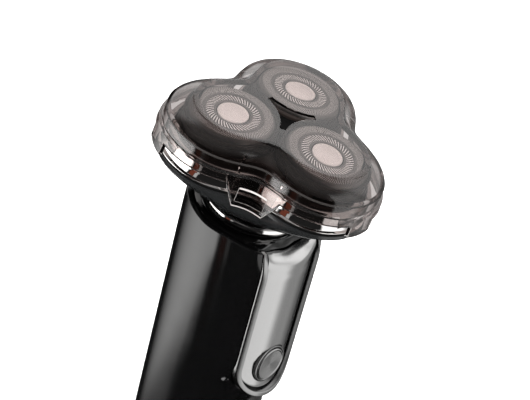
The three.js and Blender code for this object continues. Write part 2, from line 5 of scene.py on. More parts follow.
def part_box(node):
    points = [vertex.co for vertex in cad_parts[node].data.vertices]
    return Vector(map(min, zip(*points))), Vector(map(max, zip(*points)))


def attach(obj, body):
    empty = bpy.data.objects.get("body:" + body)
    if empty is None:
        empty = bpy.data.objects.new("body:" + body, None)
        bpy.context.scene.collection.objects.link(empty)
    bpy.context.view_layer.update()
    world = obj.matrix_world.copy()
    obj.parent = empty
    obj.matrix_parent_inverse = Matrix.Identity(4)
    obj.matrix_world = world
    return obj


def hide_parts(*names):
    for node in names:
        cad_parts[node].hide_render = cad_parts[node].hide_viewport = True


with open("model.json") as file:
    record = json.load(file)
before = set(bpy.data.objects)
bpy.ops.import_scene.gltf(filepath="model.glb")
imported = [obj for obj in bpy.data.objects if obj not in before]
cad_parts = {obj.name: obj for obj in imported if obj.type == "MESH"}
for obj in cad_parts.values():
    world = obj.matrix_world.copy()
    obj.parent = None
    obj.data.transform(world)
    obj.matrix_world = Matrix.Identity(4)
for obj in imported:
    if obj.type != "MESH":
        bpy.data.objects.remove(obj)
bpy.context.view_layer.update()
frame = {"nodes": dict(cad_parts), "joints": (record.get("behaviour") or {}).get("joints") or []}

MM = 0.001
pi = math.pi
J = {j["name"]: j for j in frame["joints"]}
CAD = frame["nodes"]

# ------------------------------------------------------------------ frames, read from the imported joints
PIVOT = Vector(J["head_pitch"]["pos_m"]) / MM
AXIS = Vector(J["drive_spin"]["axis"]).normalized()
LEAN = math.atan2(-AXIS.y, AXIS.z)
HEAD_UP = 20.0
HEAD = Matrix.Translation(PIVOT + AXIS * HEAD_UP) @ Matrix.Rotation(LEAN, 4, "X")
ROW = Matrix.Identity(4)
SIDES = ("front", "right", "left")
ANGLES = dict(front=-90.0, right=30.0, left=150.0)
UNIT_R = 15.0
UNIT = {}
for side in SIDES:
    j = J["cutter_spin_" + side]
    z = Vector(j["axis"]).normalized()
    p = Vector(j["pos_m"]) / MM
    out = p - (PIVOT + AXIS * (p - PIVOT).dot(AXIS))
    x = (out - z * out.dot(z)).normalized()
    y = z.cross(x)
    UNIT[side] = Matrix.Translation(p) @ Matrix((x, y, z)).transposed().to_4x4()

def rad(d): return d * pi / 180
def lerp(a, b, t): return a + (b - a) * t
def smooth(a, b, x):
    t = min(1.0, max(0.0, (x - a) / (b - a)))
    return t * t * (3 - 2 * t)

# ------------------------------------------------------------------ mesh helpers
scene = bpy.context.scene
def link(o): scene.collection.objects.link(o); return o

def build(name, verts, faces, mat, body, M=ROW, sharp=38, slot=None, replaces=(), mods=None):
    me = bpy.data.meshes.new(name)
    me.from_pydata([tuple((M @ Vector(v)) * MM) for v in verts], [], faces)
    bm = bmesh.new(); bm.from_mesh(me)
    bmesh.ops.remove_doubles(bm, verts=bm.verts, dist=1e-7)
    bmesh.ops.recalc_face_normals(bm, faces=bm.faces)
    bm.to_mesh(me); bm.free()
    o = link(bpy.data.objects.new(name, me))
    if mat: me.materials.append(mat)
    if mods: mods(o)
    if o.modifiers: apply_modifiers(o)
    o.data.shade_smooth()
    o.data.set_sharp_from_angle(angle=rad(sharp))
    if body:
        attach(o, body)
        if replaces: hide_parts(*([replaces] if isinstance(replaces, str) else replaces))
    return o

def apply_modifiers(o):
    dg = bpy.context.evaluated_depsgraph_get()
    dg.update()
    me = bpy.data.meshes.new_from_object(o.evaluated_get(dg))
    old = o.data
    o.modifiers.clear()
    o.data = me
    bpy.data.meshes.remove(old)

def circle_phis(n): return [2 * pi * i / n for i in range(n)]

def loft(stations, phis, at, closed=True):
    """stations: list; at(station, phi) -> point. Stations on the axis are given as ('apex', z)."""
    verts, rows = [], []
    for s in stations:
        if isinstance(s, tuple) and s and s[0] == "apex":
            rows.append([len(verts)] * len(phis)); verts.append((0, 0, s[1]))
        else:
            rows.append(list(range(len(verts), len(verts) + len(phis))))
            verts.extend(at(s, p) for p in phis)
    faces, n = [], len(phis)
    pairs = list(zip(rows, rows[1:]))
    if closed and not (isinstance(stations[0], tuple) and stations[0] and stations[0][0] == "apex"): pairs.append((rows[-1], rows[0]))
    for a, b in pairs:
        for i in range(n):
            k = (i + 1) % n
            f = [a[i], a[k], b[k], b[i]]
            g = []
            for q in f:
                if q not in g: g.append(q)
            if len(g) > 2: faces.append(g)
    return verts, faces

def filleted(pts, n=4, closed=True):
    """pts: (x, z) or (x, z, radius). Corners with a radius become arcs of n+1 points."""
    out, m = [], len(pts)
    for i, p in enumerate(pts):
        r = p[2] if len(p) > 2 else 0
        if not r or (not closed and i in (0, m - 1)):
            out.append((p[0], p[1])); continue
        a, c = pts[i - 1], pts[(i + 1) % m]
        b = Vector(p[:2]); u = Vector(a[:2]) - b; v = Vector(c[:2]) - b
        if u.length < 1e-9 or v.length < 1e-9: out.append((p[0], p[1])); continue
        lu, lv = u.length, v.length
        u.normalize(); v.normalize()
        ang = u.angle(v)
        if ang > pi - 0.02: out.append((p[0], p[1])); continue
        t = min(r / math.tan(ang / 2), lu * 0.49, lv * 0.49)
        rr = t * math.tan(ang / 2)
        cen = b + (u + v).normalized() * (rr / math.sin(ang / 2))
        s, e = b + u * t - cen, b + v * t - cen
        for k in range(n + 1):
            w = k / n
            d = s.slerp(e, w) if s.angle(e) > 1e-6 else s
            q = cen + d.normalized() * rr
            out.append((q.x, q.y))
    return out

def turned(name, profile, mat, body, M=ROW, seg=96, n=4, closed=None, **kw):
    """A turned piece about Z; profile points (r, z[, fillet])."""
    onaxis = profile[0][0] < 1e-9 and profile[-1][0] < 1e-9
    pts = filleted(profile, n, closed=not onaxis)
    st = [("apex", p[1]) if p[0] < 1e-9 else p for p in pts]
    v, f = loft(st, circle_phis(seg), lambda s, a: (s[0] * math.cos(a), s[0] * math.sin(a), s[1]), closed=not onaxis)
    return build(name, v, f, mat, body, M, **kw)

def lobed(name, pts, shape, phis, mat, body, M=HEAD, n=4, closed=True, **kw):
    """Closed ring of (offset, z[, fillet]) around a lobed outline."""
    pts = filleted(pts, n, closed)
    v, f = loft(pts, phis, lambda s, a: ((shape(a) + s[0]) * math.cos(a), (shape(a) + s[0]) * math.sin(a), s[1]), closed)
    return build(name, v, f, mat, body, M, **kw)

def boxy(name, sx, sy, sz, mat, body, M=ROW, bevel=0.15, seg=2, **kw):
    x, y, z = sx / 2, sy / 2, sz / 2
    v = [(-x, -y, -z), (x, -y, -z), (x, y, -z), (-x, y, -z), (-x, -y, z), (x, -y, z), (x, y, z), (-x, y, z)]
    f = [(0, 3, 2, 1), (4, 5, 6, 7), (0, 1, 5, 4), (1, 2, 6, 5), (2, 3, 7, 6), (3, 0, 4, 7)]
    def mods(o):
        b = o.modifiers.new("bevel", "BEVEL"); b.width = bevel * MM; b.segments = seg; b.limit_method = "ANGLE"
    return build(name, v, f, mat, body, M, mods=mods, **kw)

# ------------------------------------------------------------------ materials
def material(name, color, rough=0.3, metal=0.0, spec=0.5, coat=0.0, coat_rough=0.05, aniso=0.0):
    m = bpy.data.materials.new(name); m.use_nodes = True
    nt = m.node_tree; b = nt.nodes["Principled BSDF"]
    b.inputs["Base Color"].default_value = (*color, 1)
    b.inputs["Roughness"].default_value = rough
    b.inputs["Metallic"].default_value = metal
    b.inputs["Specular IOR Level"].default_value = spec
    b.inputs["Coat Weight"].default_value = coat
    b.inputs["Coat Roughness"].default_value = coat_rough
    b.inputs["Anisotropic"].default_value = aniso
    return m, nt, b

def coords(nt): return nt.nodes.new("ShaderNodeTexCoord")
def ramp(nt, fac, stops, interp="LINEAR"):
    r = nt.nodes.new("ShaderNodeValToRGB"); r.color_ramp.interpolation = interp
    e = r.color_ramp.elements
    while len(e) > len(stops): e.remove(e[-1])
    while len(e) < len(stops): e.new(0.5)
    for el, (p, c) in zip(e, stops):
        el.position = p; el.color = c if len(c) == 4 else (*c, 1)
    nt.links.new(fac, r.inputs["Fac"]); return r.outputs["Color"]
def noise(nt, vec, scale, detail=4, rough=0.55, distortion=0.0):
    n = nt.nodes.new("ShaderNodeTexNoise")
    n.inputs["Scale"].default_value = scale; n.inputs["Detail"].default_value = detail
    n.inputs["Roughness"].default_value = rough; n.inputs["Distortion"].default_value = distortion
    nt.links.new(vec, n.inputs["Vector"]); return n.outputs["Fac"]
def math_node(nt, op, a, b=None, c=None, clamp=False):
    n = nt.nodes.new("ShaderNodeMath"); n.operation = op; n.use_clamp = clamp
    for i, v in enumerate((a, b, c)):
        if v is None: continue
        if isinstance(v, (int, float)): n.inputs[i].default_value = v
        else: nt.links.new(v, n.inputs[i])
    return n.outputs[0]
def maprange(nt, v, a, b, c, d, kind="LINEAR"):
    n = nt.nodes.new("ShaderNodeMapRange"); n.interpolation_type = kind
    nt.links.new(v, n.inputs["Value"])
    for k, x in zip(("From Min", "From Max", "To Min", "To Max"), (a, b, c, d)): n.inputs[k].default_value = x
    return n.outputs["Result"]
def bump(nt, b, height, strength, distance):
    n = nt.nodes.new("ShaderNodeBump"); n.inputs["Strength"].default_value = strength; n.inputs["Distance"].default_value = distance
    nt.links.new(height, n.inputs["Height"]); nt.links.new(n.outputs["Normal"], b.inputs["Normal"]); return n
def stretched(nt, vec, sx, sy, sz):
    n = nt.nodes.new("ShaderNodeMapping"); n.inputs["Scale"].default_value = (sx, sy, sz)
    nt.links.new(vec, n.inputs["Vector"]); return n.outputs["Vector"]

def plastic(name, color, rough, spec=0.5, grain=0.0004, grain_scale=2500.0, vary=0.06, coat=0.0, metal=0.0):
    """Moulded plastic: a faint mottling of colour and polish, and a very fine orange-peel."""
    m, nt, b = material(name, color, rough, metal, spec, coat)
    obj = coords(nt).outputs["Object"]
    n1 = noise(nt, obj, 55.0, 3)
    lo = tuple(c * (1 - vary) for c in color); hi = tuple(min(1, c * (1 + vary)) for c in color)
    nt.links.new(ramp(nt, n1, [(0.3, lo), (0.7, hi)]), b.inputs["Base Color"])
    n2 = noise(nt, obj, 140.0, 5)
    nt.links.new(maprange(nt, n2, 0.25, 0.75, rough * 0.88, rough * 1.14), b.inputs["Roughness"])
    if grain: bump(nt, b, noise(nt, obj, grain_scale, 2), 0.25, grain * MM)
    return m

gloss_black = plastic("gloss_black", (0.0016, 0.0016, 0.0017), 0.11, 0.5, 0.0005, 900.0, 0.10)
collar_black = plastic("collar_black", (0.0012, 0.0012, 0.0013), 0.055, 0.5, 0.0003, 700.0)
frame_black = plastic("frame_black", (0.004, 0.004, 0.004), 0.26, 0.5, 0.0006, 1500.0)
bowl_black = plastic("bowl_black", (0.009, 0.0095, 0.0098), 0.20, 0.62, 0.0006, 1800.0, 0.08)
pod_dark = plastic("pod_gunmetal", (0.012, 0.009, 0.008), 0.46, 0.28, 0.0006, 1400.0, 0.08)
star_black = plastic("star_black", (0.0012, 0.0012, 0.0012), 0.6, 0.05, 0.0005, 1400.0)
soft_black = plastic("boot_rubber", (0.010, 0.010, 0.010), 0.42, 0.4, 0.002, 1200.0)

def metal_material(name, color, rough, brushed=None, scale=700.0, vary=0.05, depth=0.0006, aniso=0.0):
    m, nt, b = material(name, color, rough, 1.0, 0.5, aniso=aniso)
    obj = coords(nt).outputs["Object"]
    v = stretched(nt, obj, *brushed) if brushed else obj
    n = noise(nt, v, scale, 4, 0.6)
    lo = tuple(c * (1 - vary) for c in color); hi = tuple(min(1, c * (1 + vary)) for c in color)
    nt.links.new(ramp(nt, n, [(0.3, lo), (0.7, hi)]), b.inputs["Base Color"])
    nt.links.new(maprange(nt, n, 0.2, 0.8, rough * 0.85, rough * 1.2), b.inputs["Roughness"])
    bump(nt, b, n, 0.3, depth * MM)
    return m
chrome = metal_material("chrome", (0.86, 0.84, 0.83), 0.035, None, 300.0, 0.01, 0.0002)
steel = metal_material("foil_steel", (0.33, 0.315, 0.31), 0.30, None, 2200.0, 0.05, 0.0006)
# painted highlight: near-white and lighter copies of the foil steel, standing in for the glint of the slotted bars
foil_bar_painted_highlight = plastic("foil_bars_painted_highlight", (0.93, 0.905, 0.89), 0.4, 0.6, 0.0004, 2600.0, 0.03, metal=0.12)
foil_ridge_painted_highlight = plastic("foil_ridges_painted_highlight", (0.62, 0.60, 0.59), 0.4, 0.5, 0.0004, 2600.0, 0.03, metal=0.4)
# painted shade: near-black on the foil's slot walls, standing in for the dark inside the slots
foil_slot_painted_shade = plastic("foil_slot_walls_painted_shade", (0.012, 0.011, 0.011), 0.5, 0.2, 0.0004, 2600.0)
blade_steel = metal_material("blade_steel", (0.10, 0.095, 0.095), 0.35, None, 1500.0, 0.05, 0.0004)
inner_steel = metal_material("inner_steel", (0.55, 0.55, 0.55), 0.3, (1, 1, 12), 400.0)
panel_metal = metal_material("panel_metal", (0.46, 0.46, 0.46), 0.22, (9, 9, 1), 900.0, 0.015, 0.0002)
trim_metal = metal_material("trim_metal", (0.33, 0.33, 0.33), 0.24, (9, 9, 1), 900.0, 0.02, 0.0002)

def spun_metal():
    m, nt, b = material("button_metal", (0.35, 0.35, 0.35), 0.27, 1.0, aniso=0.9)
    tc = coords(nt)
    g = nt.nodes.new("ShaderNodeSeparateXYZ"); nt.links.new(tc.outputs["Object"], g.inputs[0])
    r = math_node(nt, "SQRT", math_node(nt, "ADD", math_node(nt, "MULTIPLY", g.outputs["X"], g.outputs["X"]), math_node(nt, "MULTIPLY", g.outputs["Z"], g.outputs["Z"])))
    comb = nt.nodes.new("ShaderNodeCombineXYZ"); nt.links.new(math_node(nt, "MULTIPLY", r, 9000.0), comb.inputs[0])
    n = nt.nodes.new("ShaderNodeTexNoise"); n.noise_dimensions = "3D"; n.inputs["Scale"].default_value = 1.0; n.inputs["Detail"].default_value = 3
    nt.links.new(comb.outputs[0], n.inputs["Vector"])
    bump(nt, b, n.outputs["Fac"], 0.35, 0.004 * MM)
    t = nt.nodes.new("ShaderNodeTangent"); t.direction_type = "RADIAL"; t.axis = "Y"
    nt.links.new(t.outputs["Tangent"], b.inputs["Tangent"])
    nt.links.new(ramp(nt, n.outputs["Fac"], [(0.3, (0.29, 0.29, 0.29)), (0.7, (0.42, 0.42, 0.42))]), b.inputs["Base Color"])
    return m
button_metal = spun_metal()

def disc_material():
    m, nt, b = material("disc_matte", (0.60, 0.55, 0.555), 0.55, 0.15)
    obj = coords(nt).outputs["Object"]
    n = noise(nt, obj, 420.0, 5, 0.6); n2 = noise(nt, obj, 2600.0, 3)
    nt.links.new(ramp(nt, n, [(0.25, (0.84, 0.79, 0.775)), (0.75, (0.94, 0.90, 0.885))]), b.inputs["Base Color"])
    nt.links.new(maprange(nt, n, 0.2, 0.8, 0.48, 0.62), b.inputs["Roughness"])
    bump(nt, b, n2, 0.4, 0.006 * MM)
    return m
disc_mat = disc_material()

def smoke_material():
    """Clear smoke-tinted plastic; lamps pass through it tinted, so what is inside is lit."""
    m = bpy.data.materials.new("smoke_clear"); m.use_nodes = True
    nt = m.node_tree; b = nt.nodes["Principled BSDF"]; out = nt.nodes["Material Output"]
    b.inputs["Base Color"].default_value = (0.96, 0.945, 0.94, 1)
    b.inputs["Roughness"].default_value = 0.0
    b.inputs["IOR"].default_value = 1.2
    b.inputs["Coat Weight"].default_value = 1.0; b.inputs["Coat IOR"].default_value = 1.5; b.inputs["Coat Roughness"].default_value = 0.02
    b.inputs["Transmission Weight"].default_value = 1.0
    obj = coords(nt).outputs["Object"]
    bump(nt, b, noise(nt, obj, 120.0, 2), 0.06, 0.003 * MM)
    nt.links.new(maprange(nt, noise(nt, obj, 90.0, 4), 0.35, 0.75, 0.0, 0.012), b.inputs["Roughness"])
    va = nt.nodes.new("ShaderNodeVolumeAbsorption"); va.inputs["Color"].default_value = (0.36, 0.30, 0.285, 1); va.inputs["Density"].default_value = 1050.0
    nt.links.new(va.outputs[0], out.inputs["Volume"])
    tr = nt.nodes.new("ShaderNodeBsdfTransparent"); tr.inputs["Color"].default_value = (0.97, 0.96, 0.955, 1)
    lp = nt.nodes.new("ShaderNodeLightPath"); mix = nt.nodes.new("ShaderNodeMixShader")
    nt.links.new(lp.outputs["Is Shadow Ray"], mix.inputs["Fac"])
    nt.links.new(b.outputs[0], mix.inputs[1]); nt.links.new(tr.outputs[0], mix.inputs[2])
    nt.links.new(mix.outputs[0], out.inputs["Surface"])
    return m
smoke = smoke_material()
# painted shade: an opaque dark line on the cap's shoulder crease, where the thick smoked glass looks dark; the next
# material is a painted highlight along the bottom edge and the tab outline
smoke_painted_dark_line = plastic("smoke_painted_dark_line", (0.02, 0.018, 0.017), 0.25, 0.5, 0.0003, 2000.0)
smoke_painted_highlight = plastic("smoke_rim_painted_highlight", (0.30, 0.28, 0.27), 0.22, 0.6, 0.0003, 2000.0)

lens_mat = plastic("charge_lens", (0.07, 0.07, 0.07), 0.2, 0.5, 0.0)
board_mat = plastic("board_green", (0.02, 0.16, 0.06), 0.45)
cell_mat = plastic("cell_wrap", (0.05, 0.15, 0.38), 0.35)
nylon_mat = plastic("gear_nylon", (0.72, 0.69, 0.62), 0.45)

# ------------------------------------------------------------------ handle
BODY_R, BODY_TAPER = 19.17, 0.0095
RIM_BACK_Z, RIM_DIP, RIM_IN = 128.8, 6.3, 4.9
GRIP_RECESS = 5.4
def bodyR(z): return BODY_R - BODY_TAPER * (PIVOT.z - z)
def recess(z): return GRIP_RECESS * smooth(93, 71, z) * lerp(0.3, 1, smooth(0, 62, z))
def section(z, phi, off):
    R = bodyR(z) + off; c, s = math.cos(phi), math.sin(phi)
    d = recess(z) if s < 0 else 0
    # the front half is pulled in; the join at the sides is eased
    return (R * c, (R - d) * s, z)
def rimW(phi): return ((1 - math.sin(phi)) / 2) ** 2.5
def rimZ(phi):
    s_ = -math.sin(phi)
    return RIM_BACK_Z - RIM_DIP * rimW(phi) + 1.5 * smooth(0, 1, -s_) + 0.9 * smooth(-0.1, 0.45, s_) * (1 - smooth(0.75, 1.0, s_))
def rimR(phi): return BODY_R - 0.25 - RIM_IN * smooth(0.7, 1, -math.sin(phi))
def upper(u, phi, off):
    z = lerp(112, rimZ(phi), u)
    k = max(0, (u - 0.35) / 0.65) ** 2.6
    R = lerp(bodyR(z), rimR(phi), k) + off
    return (R * math.cos(phi), R * math.sin(phi), z)

PANEL_HALF, PANEL_SINK, TRIM_W = rad(31.5), 1.5, 1.45
PANEL_END_Z, PANEL_ROUND_Z = 80.4, 89.0
BUTTON_Z, BUTTON_R = 88.4, 4.7
def rim_k(u): return max(0.0, (u - 0.35) / 0.65) ** 2.6
def upperR(u, phi, off, lift):
    z = lerp(112, rimZ(phi), u)
    return lerp(bodyR(z), rimR(phi), rim_k(u)) + off + lift * smooth(0.5, 0.93, u)
def on_front(row, x, off, lift=0.0):
    """Point of the un-recessed front surface at offset off with that x; row is ('z', z) or ('u', u)."""
    if row[0] == "z":
        R = bodyR(row[1]) + off
        return (x, -math.sqrt(max(R * R - x * x, 1e-6)), row[1])
    phi = -pi / 2 + math.asin(max(-1, min(1, x / 18.5)))
    for _ in range(12):
        R = upperR(row[1], phi, off, lift)
        phi = -pi / 2 + math.asin(max(-1, min(1, x / R)))
    R = upperR(row[1], phi, off, lift)
    return (R * math.cos(phi), R * math.sin(phi), lerp(112, rimZ(phi), row[1]))

def tongue_rows(grow, top=1.0, n_round=28):
    """Rows of the tongue from the top down: (row, half width)."""
    rows = []
    for u in [top * (1 - i / 22) for i in range(22)]: rows.append((("u", u), None))
    for i in range(14): rows.append((("z", lerp(112, PANEL_ROUND_Z, i / 14)), None))
    ry = PANEL_ROUND_Z - PANEL_END_Z + grow
    r = bodyR(PANEL_ROUND_Z) * math.sin(PANEL_HALF) + grow
    for i in range(n_round + 1):
        t = i / n_round * pi / 2
        rows.append((("z", PANEL_ROUND_Z - ry * math.sin(t)), r * math.cos(t)))
    out = []
    for row, h in rows:
        if h is None:
            z = row[1] if row[0] == "z" else lerp(112, 124, row[1])
            h = bodyR(z) * math.sin(PANEL_HALF) + grow
        out.append((row, h))
    return out

def tongue_solid(name, grow, off_out, lift_out, off_in, lift_in, mat, body, top=1.0, cols=40, zmin=None, **kw):
    rows = tongue_rows(grow, top)
    if zmin is not None: rows = [r for r in rows if r[0][0] == "z" and r[0][1] <= zmin]
    verts, faces = [], []
    ts = [math.sin((i / cols * 2 - 1) * pi / 2 * 0.999) / math.sin(pi / 2 * 0.999) for i in range(cols + 1)]
    for off, lift in ((off_out, lift_out), (off_in, lift_in)):
        for row, h in rows:
            for t in ts: verts.append(on_front(row, h * t, off, lift))
    m, n = len(rows), cols + 1
    for i in range(m - 1):
        for k in range(cols):
            a = i * n + k
            faces.append((a, a + 1, a + 1 + n, a + n))
            b = a + m * n
            faces.append((b, b + n, b + 1 + n, b + 1))
    for i in range(m - 1):
        for k in (0, cols):
            a = i * n + k
            faces.append((a, a + n, a + n + m * n, a + m * n))
    for k in range(cols):
        faces.append((k, k + 1, k + 1 + m * n, k + m * n))
    return build(name, verts, faces, mat, body, **kw)

def cylinder_tool(name, r, p0, p1, seg=96):
    p0, p1 = Vector(p0), Vector(p1)
    z = (p1 - p0).normalized(); x = z.orthogonal().normalized(); y = z.cross(x)
    v = [p0 + (x * math.cos(a) + y * math.sin(a)) * r for a in circle_phis(seg)] + [p1 + (x * math.cos(a) + y * math.sin(a)) * r for a in circle_phis(seg)]
    f = [(i, (i + 1) % seg, (i + 1) % seg + seg, i + seg) for i in range(seg)] + [tuple(range(seg - 1, -1, -1)), tuple(range(seg, 2 * seg))]
    return build(name, [tuple(q) for q in v], f, None, None)
def boolean(o, tool, op="DIFFERENCE"):
    b = o.modifiers.new("b", "BOOLEAN"); b.operation = op; b.object = tool; b.solver = "EXACT"
def bevel(o, w, seg=3, angle=40):
    b = o.modifiers.new("bevel", "BEVEL"); b.width = w * MM; b.segments = seg; b.limit_method = "ANGLE"; b.angle_limit = rad(angle)
def discard(*objs):
    for o in objs: bpy.data.objects.remove(o, do_unlink=True)

tools = []
def tool(o): tools.append(o); o.hide_render = True; return o
def stadium(w, h, n=16):
    q = []
    for i in range(2 * n):
        t = (i + 0.5) / (2 * n) * 2 * pi
        c = math.cos(t)
        q.append((math.copysign(w - h, c) + h * c, h * math.sin(t)))
    return q
def prism_y(name, outline, y0, y1, zc, mat=None, body=None, **kw):
    n = len(outline)
    v = [(x, y0, zc + z) for x, z in outline] + [(x, y1, zc + z) for x, z in outline]
    f = [(i, (i + 1) % n, (i + 1) % n + n, i + n) for i in range(n)] + [tuple(range(n)), tuple(range(2 * n - 1, n - 1, -1))]
    return build(name, v, f, mat, body, **kw)

# handle shell: outer skin, rim, mouth and the hollow inside, as one closed loft
SHELL_PHI = circle_phis(240)
st = [("s", 0.0, -0.95), ("s", 0.05, -0.62), ("s", 0.25, -0.34), ("s", 0.6, -0.15), ("s", 1.2, -0.04), ("s", 2.0, 0.0)]
for i in range(1, 11): st.append(("s", 2 + i * 5.4, 0.0))
for i in range(0, 33): st.append(("s", 59 + i * 1.1, 0.0))
for i in range(1, 7): st.append(("s", lerp(94.5, 112, i / 6.5), 0.0))
for i in range(0, 30): st.append(("u", i / 29 * 0.992, 0.0))
st += [("u", 1.0, -0.12), ("r", 0.0, -0.35), ("r", 0.0, -1.2), ("r", -0.15, -1.3), ("r", -3.2, -1.3)]
def shell_at(s, phi):
    if s[0] == "s": return section(s[1], phi, s[2])
    if s[0] == "u": return upper(s[1], phi, s[2])
    if s[0] == "r":
        q = upper(1.0, phi, s[2]); return (q[0], q[1], q[2] + s[1])
    if s[0] == "n": return (13.2 * math.cos(phi), 13.2 * math.sin(phi) * 0.99 + s[2], s[1])
    return section(s[1], phi, -2.0 - (1.6 if s[1] > 112 else 0) - (1.2 + 1.4 * smooth(78, 89, s[1])) * smooth(-0.2, -0.8, math.sin(phi)))
st += [("n", 119.0, 1.6), ("n", 118.5, 1.6), ("c", 118.4), ("c", 112.5), ("c", 111.9)]
for z in (104, 98, 94, 90, 86, 82, 79, 76, 73, 70, 66, 60, 45, 30, 15, 6): st.append(("c", z))
st += [("c", 0.0)]
v, f = loft(st, SHELL_PHI, shell_at)
island = tool(tongue_solid("t_island", TRIM_W, -PANEL_SINK - 0.4, 0, -8.4, 0, None, None, zmin=97))
seat = tool(tongue_solid("t_seat", TRIM_W + 0.34, 3.0, 0, -PANEL_SINK - 1.45, PANEL_SINK - 0.1, None, None, top=1.06))
hole = tool(cylinder_tool("t_hole", 5.9, (0, -40, BUTTON_Z), (0, -8, BUTTON_Z)))
light_hole = tool(cylinder_tool("t_light", 0.85, (-12, -30, 84.8), (-12, -8, 84.8), 40))
inlet = tool(prism_y("t_inlet", stadium(4.75, 1.9), 8.0, 30.0, 12.0))
def shell_mods(o):
    boolean(o, island, "UNION"); boolean(o, seat); boolean(o, hole); boolean(o, light_hole); boolean(o, inlet)
shell = build("handle_body", v, f, gloss_black, "handle", sharp=32, slot="gloss_black", replaces="handle_shell", mods=shell_mods)

tongue_hole = tool(cylinder_tool("t_panelhole", 5.75, (0, -40, BUTTON_Z), (0, -5, BUTTON_Z)))
def panel_mods(o): boolean(o, tongue_hole); bevel(o, 0.28, 3, 50)
panel = tongue_solid("front_panel_face", -0.62, -PANEL_SINK, PANEL_SINK - 0.1, -PANEL_SINK - 1.2, PANEL_SINK - 0.1, panel_metal, "handle",
                     top=0.985, cols=56, slot="panel_metal", replaces="front_panel", mods=panel_mods)

# raised trim swept round the tongue
prof = filleted([(0.06, -PANEL_SINK - 1.15, 0.1), (0.06, 0.18, 0.08), (0.20, 0.30, 0.12), (1.28, 0.30, 0.14), (TRIM_W, 0.10, 0.1), (TRIM_W, -PANEL_SINK - 1.15, 0.1)], 3)
verts, faces, rows_n = [], [], 0
def trim_ring(side, row, h0, z_of):
    for g, off in prof:
        verts.append(z_of(side, row, h0, g, off))
def straight(side, row, h0, g, off):
    lift = 0.0 if off > -0.6 else (PANEL_SINK - 0.1)
    p = on_front(row, side * (h0 + g), off, lift)
    return p
def rounded(side, t, h0, g, off):
    ry = PANEL_ROUND_Z - PANEL_END_Z + g
    x = (h0 + g) * math.cos(t); z = PANEL_ROUND_Z - ry * math.sin(t)
    return on_front(("z", z), x, off)
path = []
us = [1 - i / 20 for i in range(20)]
zs = [lerp(112, PANEL_ROUND_Z, i / 10) for i in range(10)]
for side in (-1,):
    for u in us: path.append(("s", side, ("u", u)))
    for z in zs: path.append(("s", side, ("z", z)))
for i in range(61): path.append(("r", pi - i / 60 * pi))
for z in reversed(zs): path.append(("s", 1, ("z", z)))
for u in reversed(us): path.append(("s", 1, ("u", u)))
hr = bodyR(PANEL_ROUND_Z) * math.sin(PANEL_HALF)
for p in path:
    if p[0] == "s":
        z = p[2][1] if p[2][0] == "z" else lerp(112, 124, p[2][1])
        trim_ring(p[1], p[2], bodyR(z) * math.sin(PANEL_HALF), straight)
    else: trim_ring(0, p[1], hr, rounded)
n = len(prof)
for i in range(len(path) - 1):
    for k in range(n):
        a, b = i * n + k, i * n + (k + 1) % n
        faces.append((a, b, b + n, a + n))
faces += [tuple(range(n)), tuple(range(len(verts) - 1, len(verts) - 1 - n, -1))]
build("panel_trim_ring", verts, faces, trim_metal, "handle", sharp=40, slot="trim_metal", replaces="panel_trim")

# button, bezel: turned about the axis that points out of the front
FRONT = Matrix.Translation((0, 0, BUTTON_Z)) @ Matrix.Rotation(pi / 2, 4, "X")
def local_origin(o, p):
    """Moves the object's origin to p (mm) and leaves the mesh where it is, for patterns centred on it."""
    d = Vector(p) * MM
    o.data.transform(Matrix.Translation(-d))
    bpy.context.view_layer.update()
    o.matrix_world = Matrix.Translation(d) @ o.matrix_world
    return o
turned("button_ring", [(4.95, 14.2), (5.45, 14.2, .1), (5.45, 17.3, .12), (5.1, 17.38, .08), (4.95, 17.2, .05)], trim_metal, "handle", FRONT, seg=128, slot="chrome", replaces="button_bezel")
btn = turned("button_cap", [(0, 12.9), (1.3, 12.9, .15), (1.3, 15.4), (4.55, 15.4, .1), (4.7, 15.6), (4.7, 17.55, .12), (4.42, 17.8, .12), (4.1, 17.62, .2), (2.2, 17.46), (0, 17.42)],
             button_metal, None, FRONT, seg=128, n=5)
local_origin(btn, (0, -17.5, BUTTON_Z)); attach(btn, "button"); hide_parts("power_button")
LED = Matrix.Translation((-12, 0, 84.8)) @ Matrix.Rotation(pi / 2, 4, "X")
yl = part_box("charge_light")
turned("charge_light_lens", [(0, -yl[1].y / MM), (0.62, -yl[1].y / MM), (0.62, -yl[0].y / MM - 0.15, 0.12), (0.4, -yl[0].y / MM - 0.03), (0, -yl[0].y / MM)], lens_mat, "handle", LED, seg=40, slot="lens", replaces="charge_light")

# charging inlet at the back: metal liner and two contacts
def stadium_ring(name, prof_, mat, body, zc, seg=20, **kw):
    """prof_: (inset, y) closed profile round a stadium outline"""
    W, H = 4.47, 1.63
    pts = filleted(prof_, 3); base = stadium(1, 1, seg)
    v = []
    for ins, y in pts:
        for x, z in stadium(W - ins, H - ins, seg): v.append((x, y, zc + z))
    m, k = len(pts), len(stadium(W, H, seg))
    f = [(i * k + j, i * k + (j + 1) % k, ((i + 1) % m) * k + (j + 1) % k, ((i + 1) % m) * k + j) for i in range(m) for j in range(k)]
    return build(name, v, f, mat, body, **kw)
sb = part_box("charge_socket")
y0, y1 = sb[0].y / MM, sb[1].y / MM
stadium_ring("inlet_liner", [(0.0, y0), (0.0, y1, .12), (0.35, y1, .1), (0.35, y0 + 1.2), (1.55, y0 + 1.2), (1.55, y0)], chrome, "handle", 12.0, slot="chrome", replaces="charge_socket")
prism_y("inlet_floor", stadium(2.9, 0.08), y0 + 0.05, y0 + 1.15, 12.0, frame_black, "handle", slot="dark_plastic")
for k, x in enumerate((-1.35, 1.35)):
    turned("inlet_pin_%d" % k, [(0, y0 + 0.4), (0.38, y0 + 0.4), (0.38, y1 - 1.6, .15), (0, y1 - 1.5)], chrome, "handle",
           Matrix.Translation((x, 0, 12.0)) @ Matrix.Rotation(-pi / 2, 4, "X"), seg=24, slot="chrome")

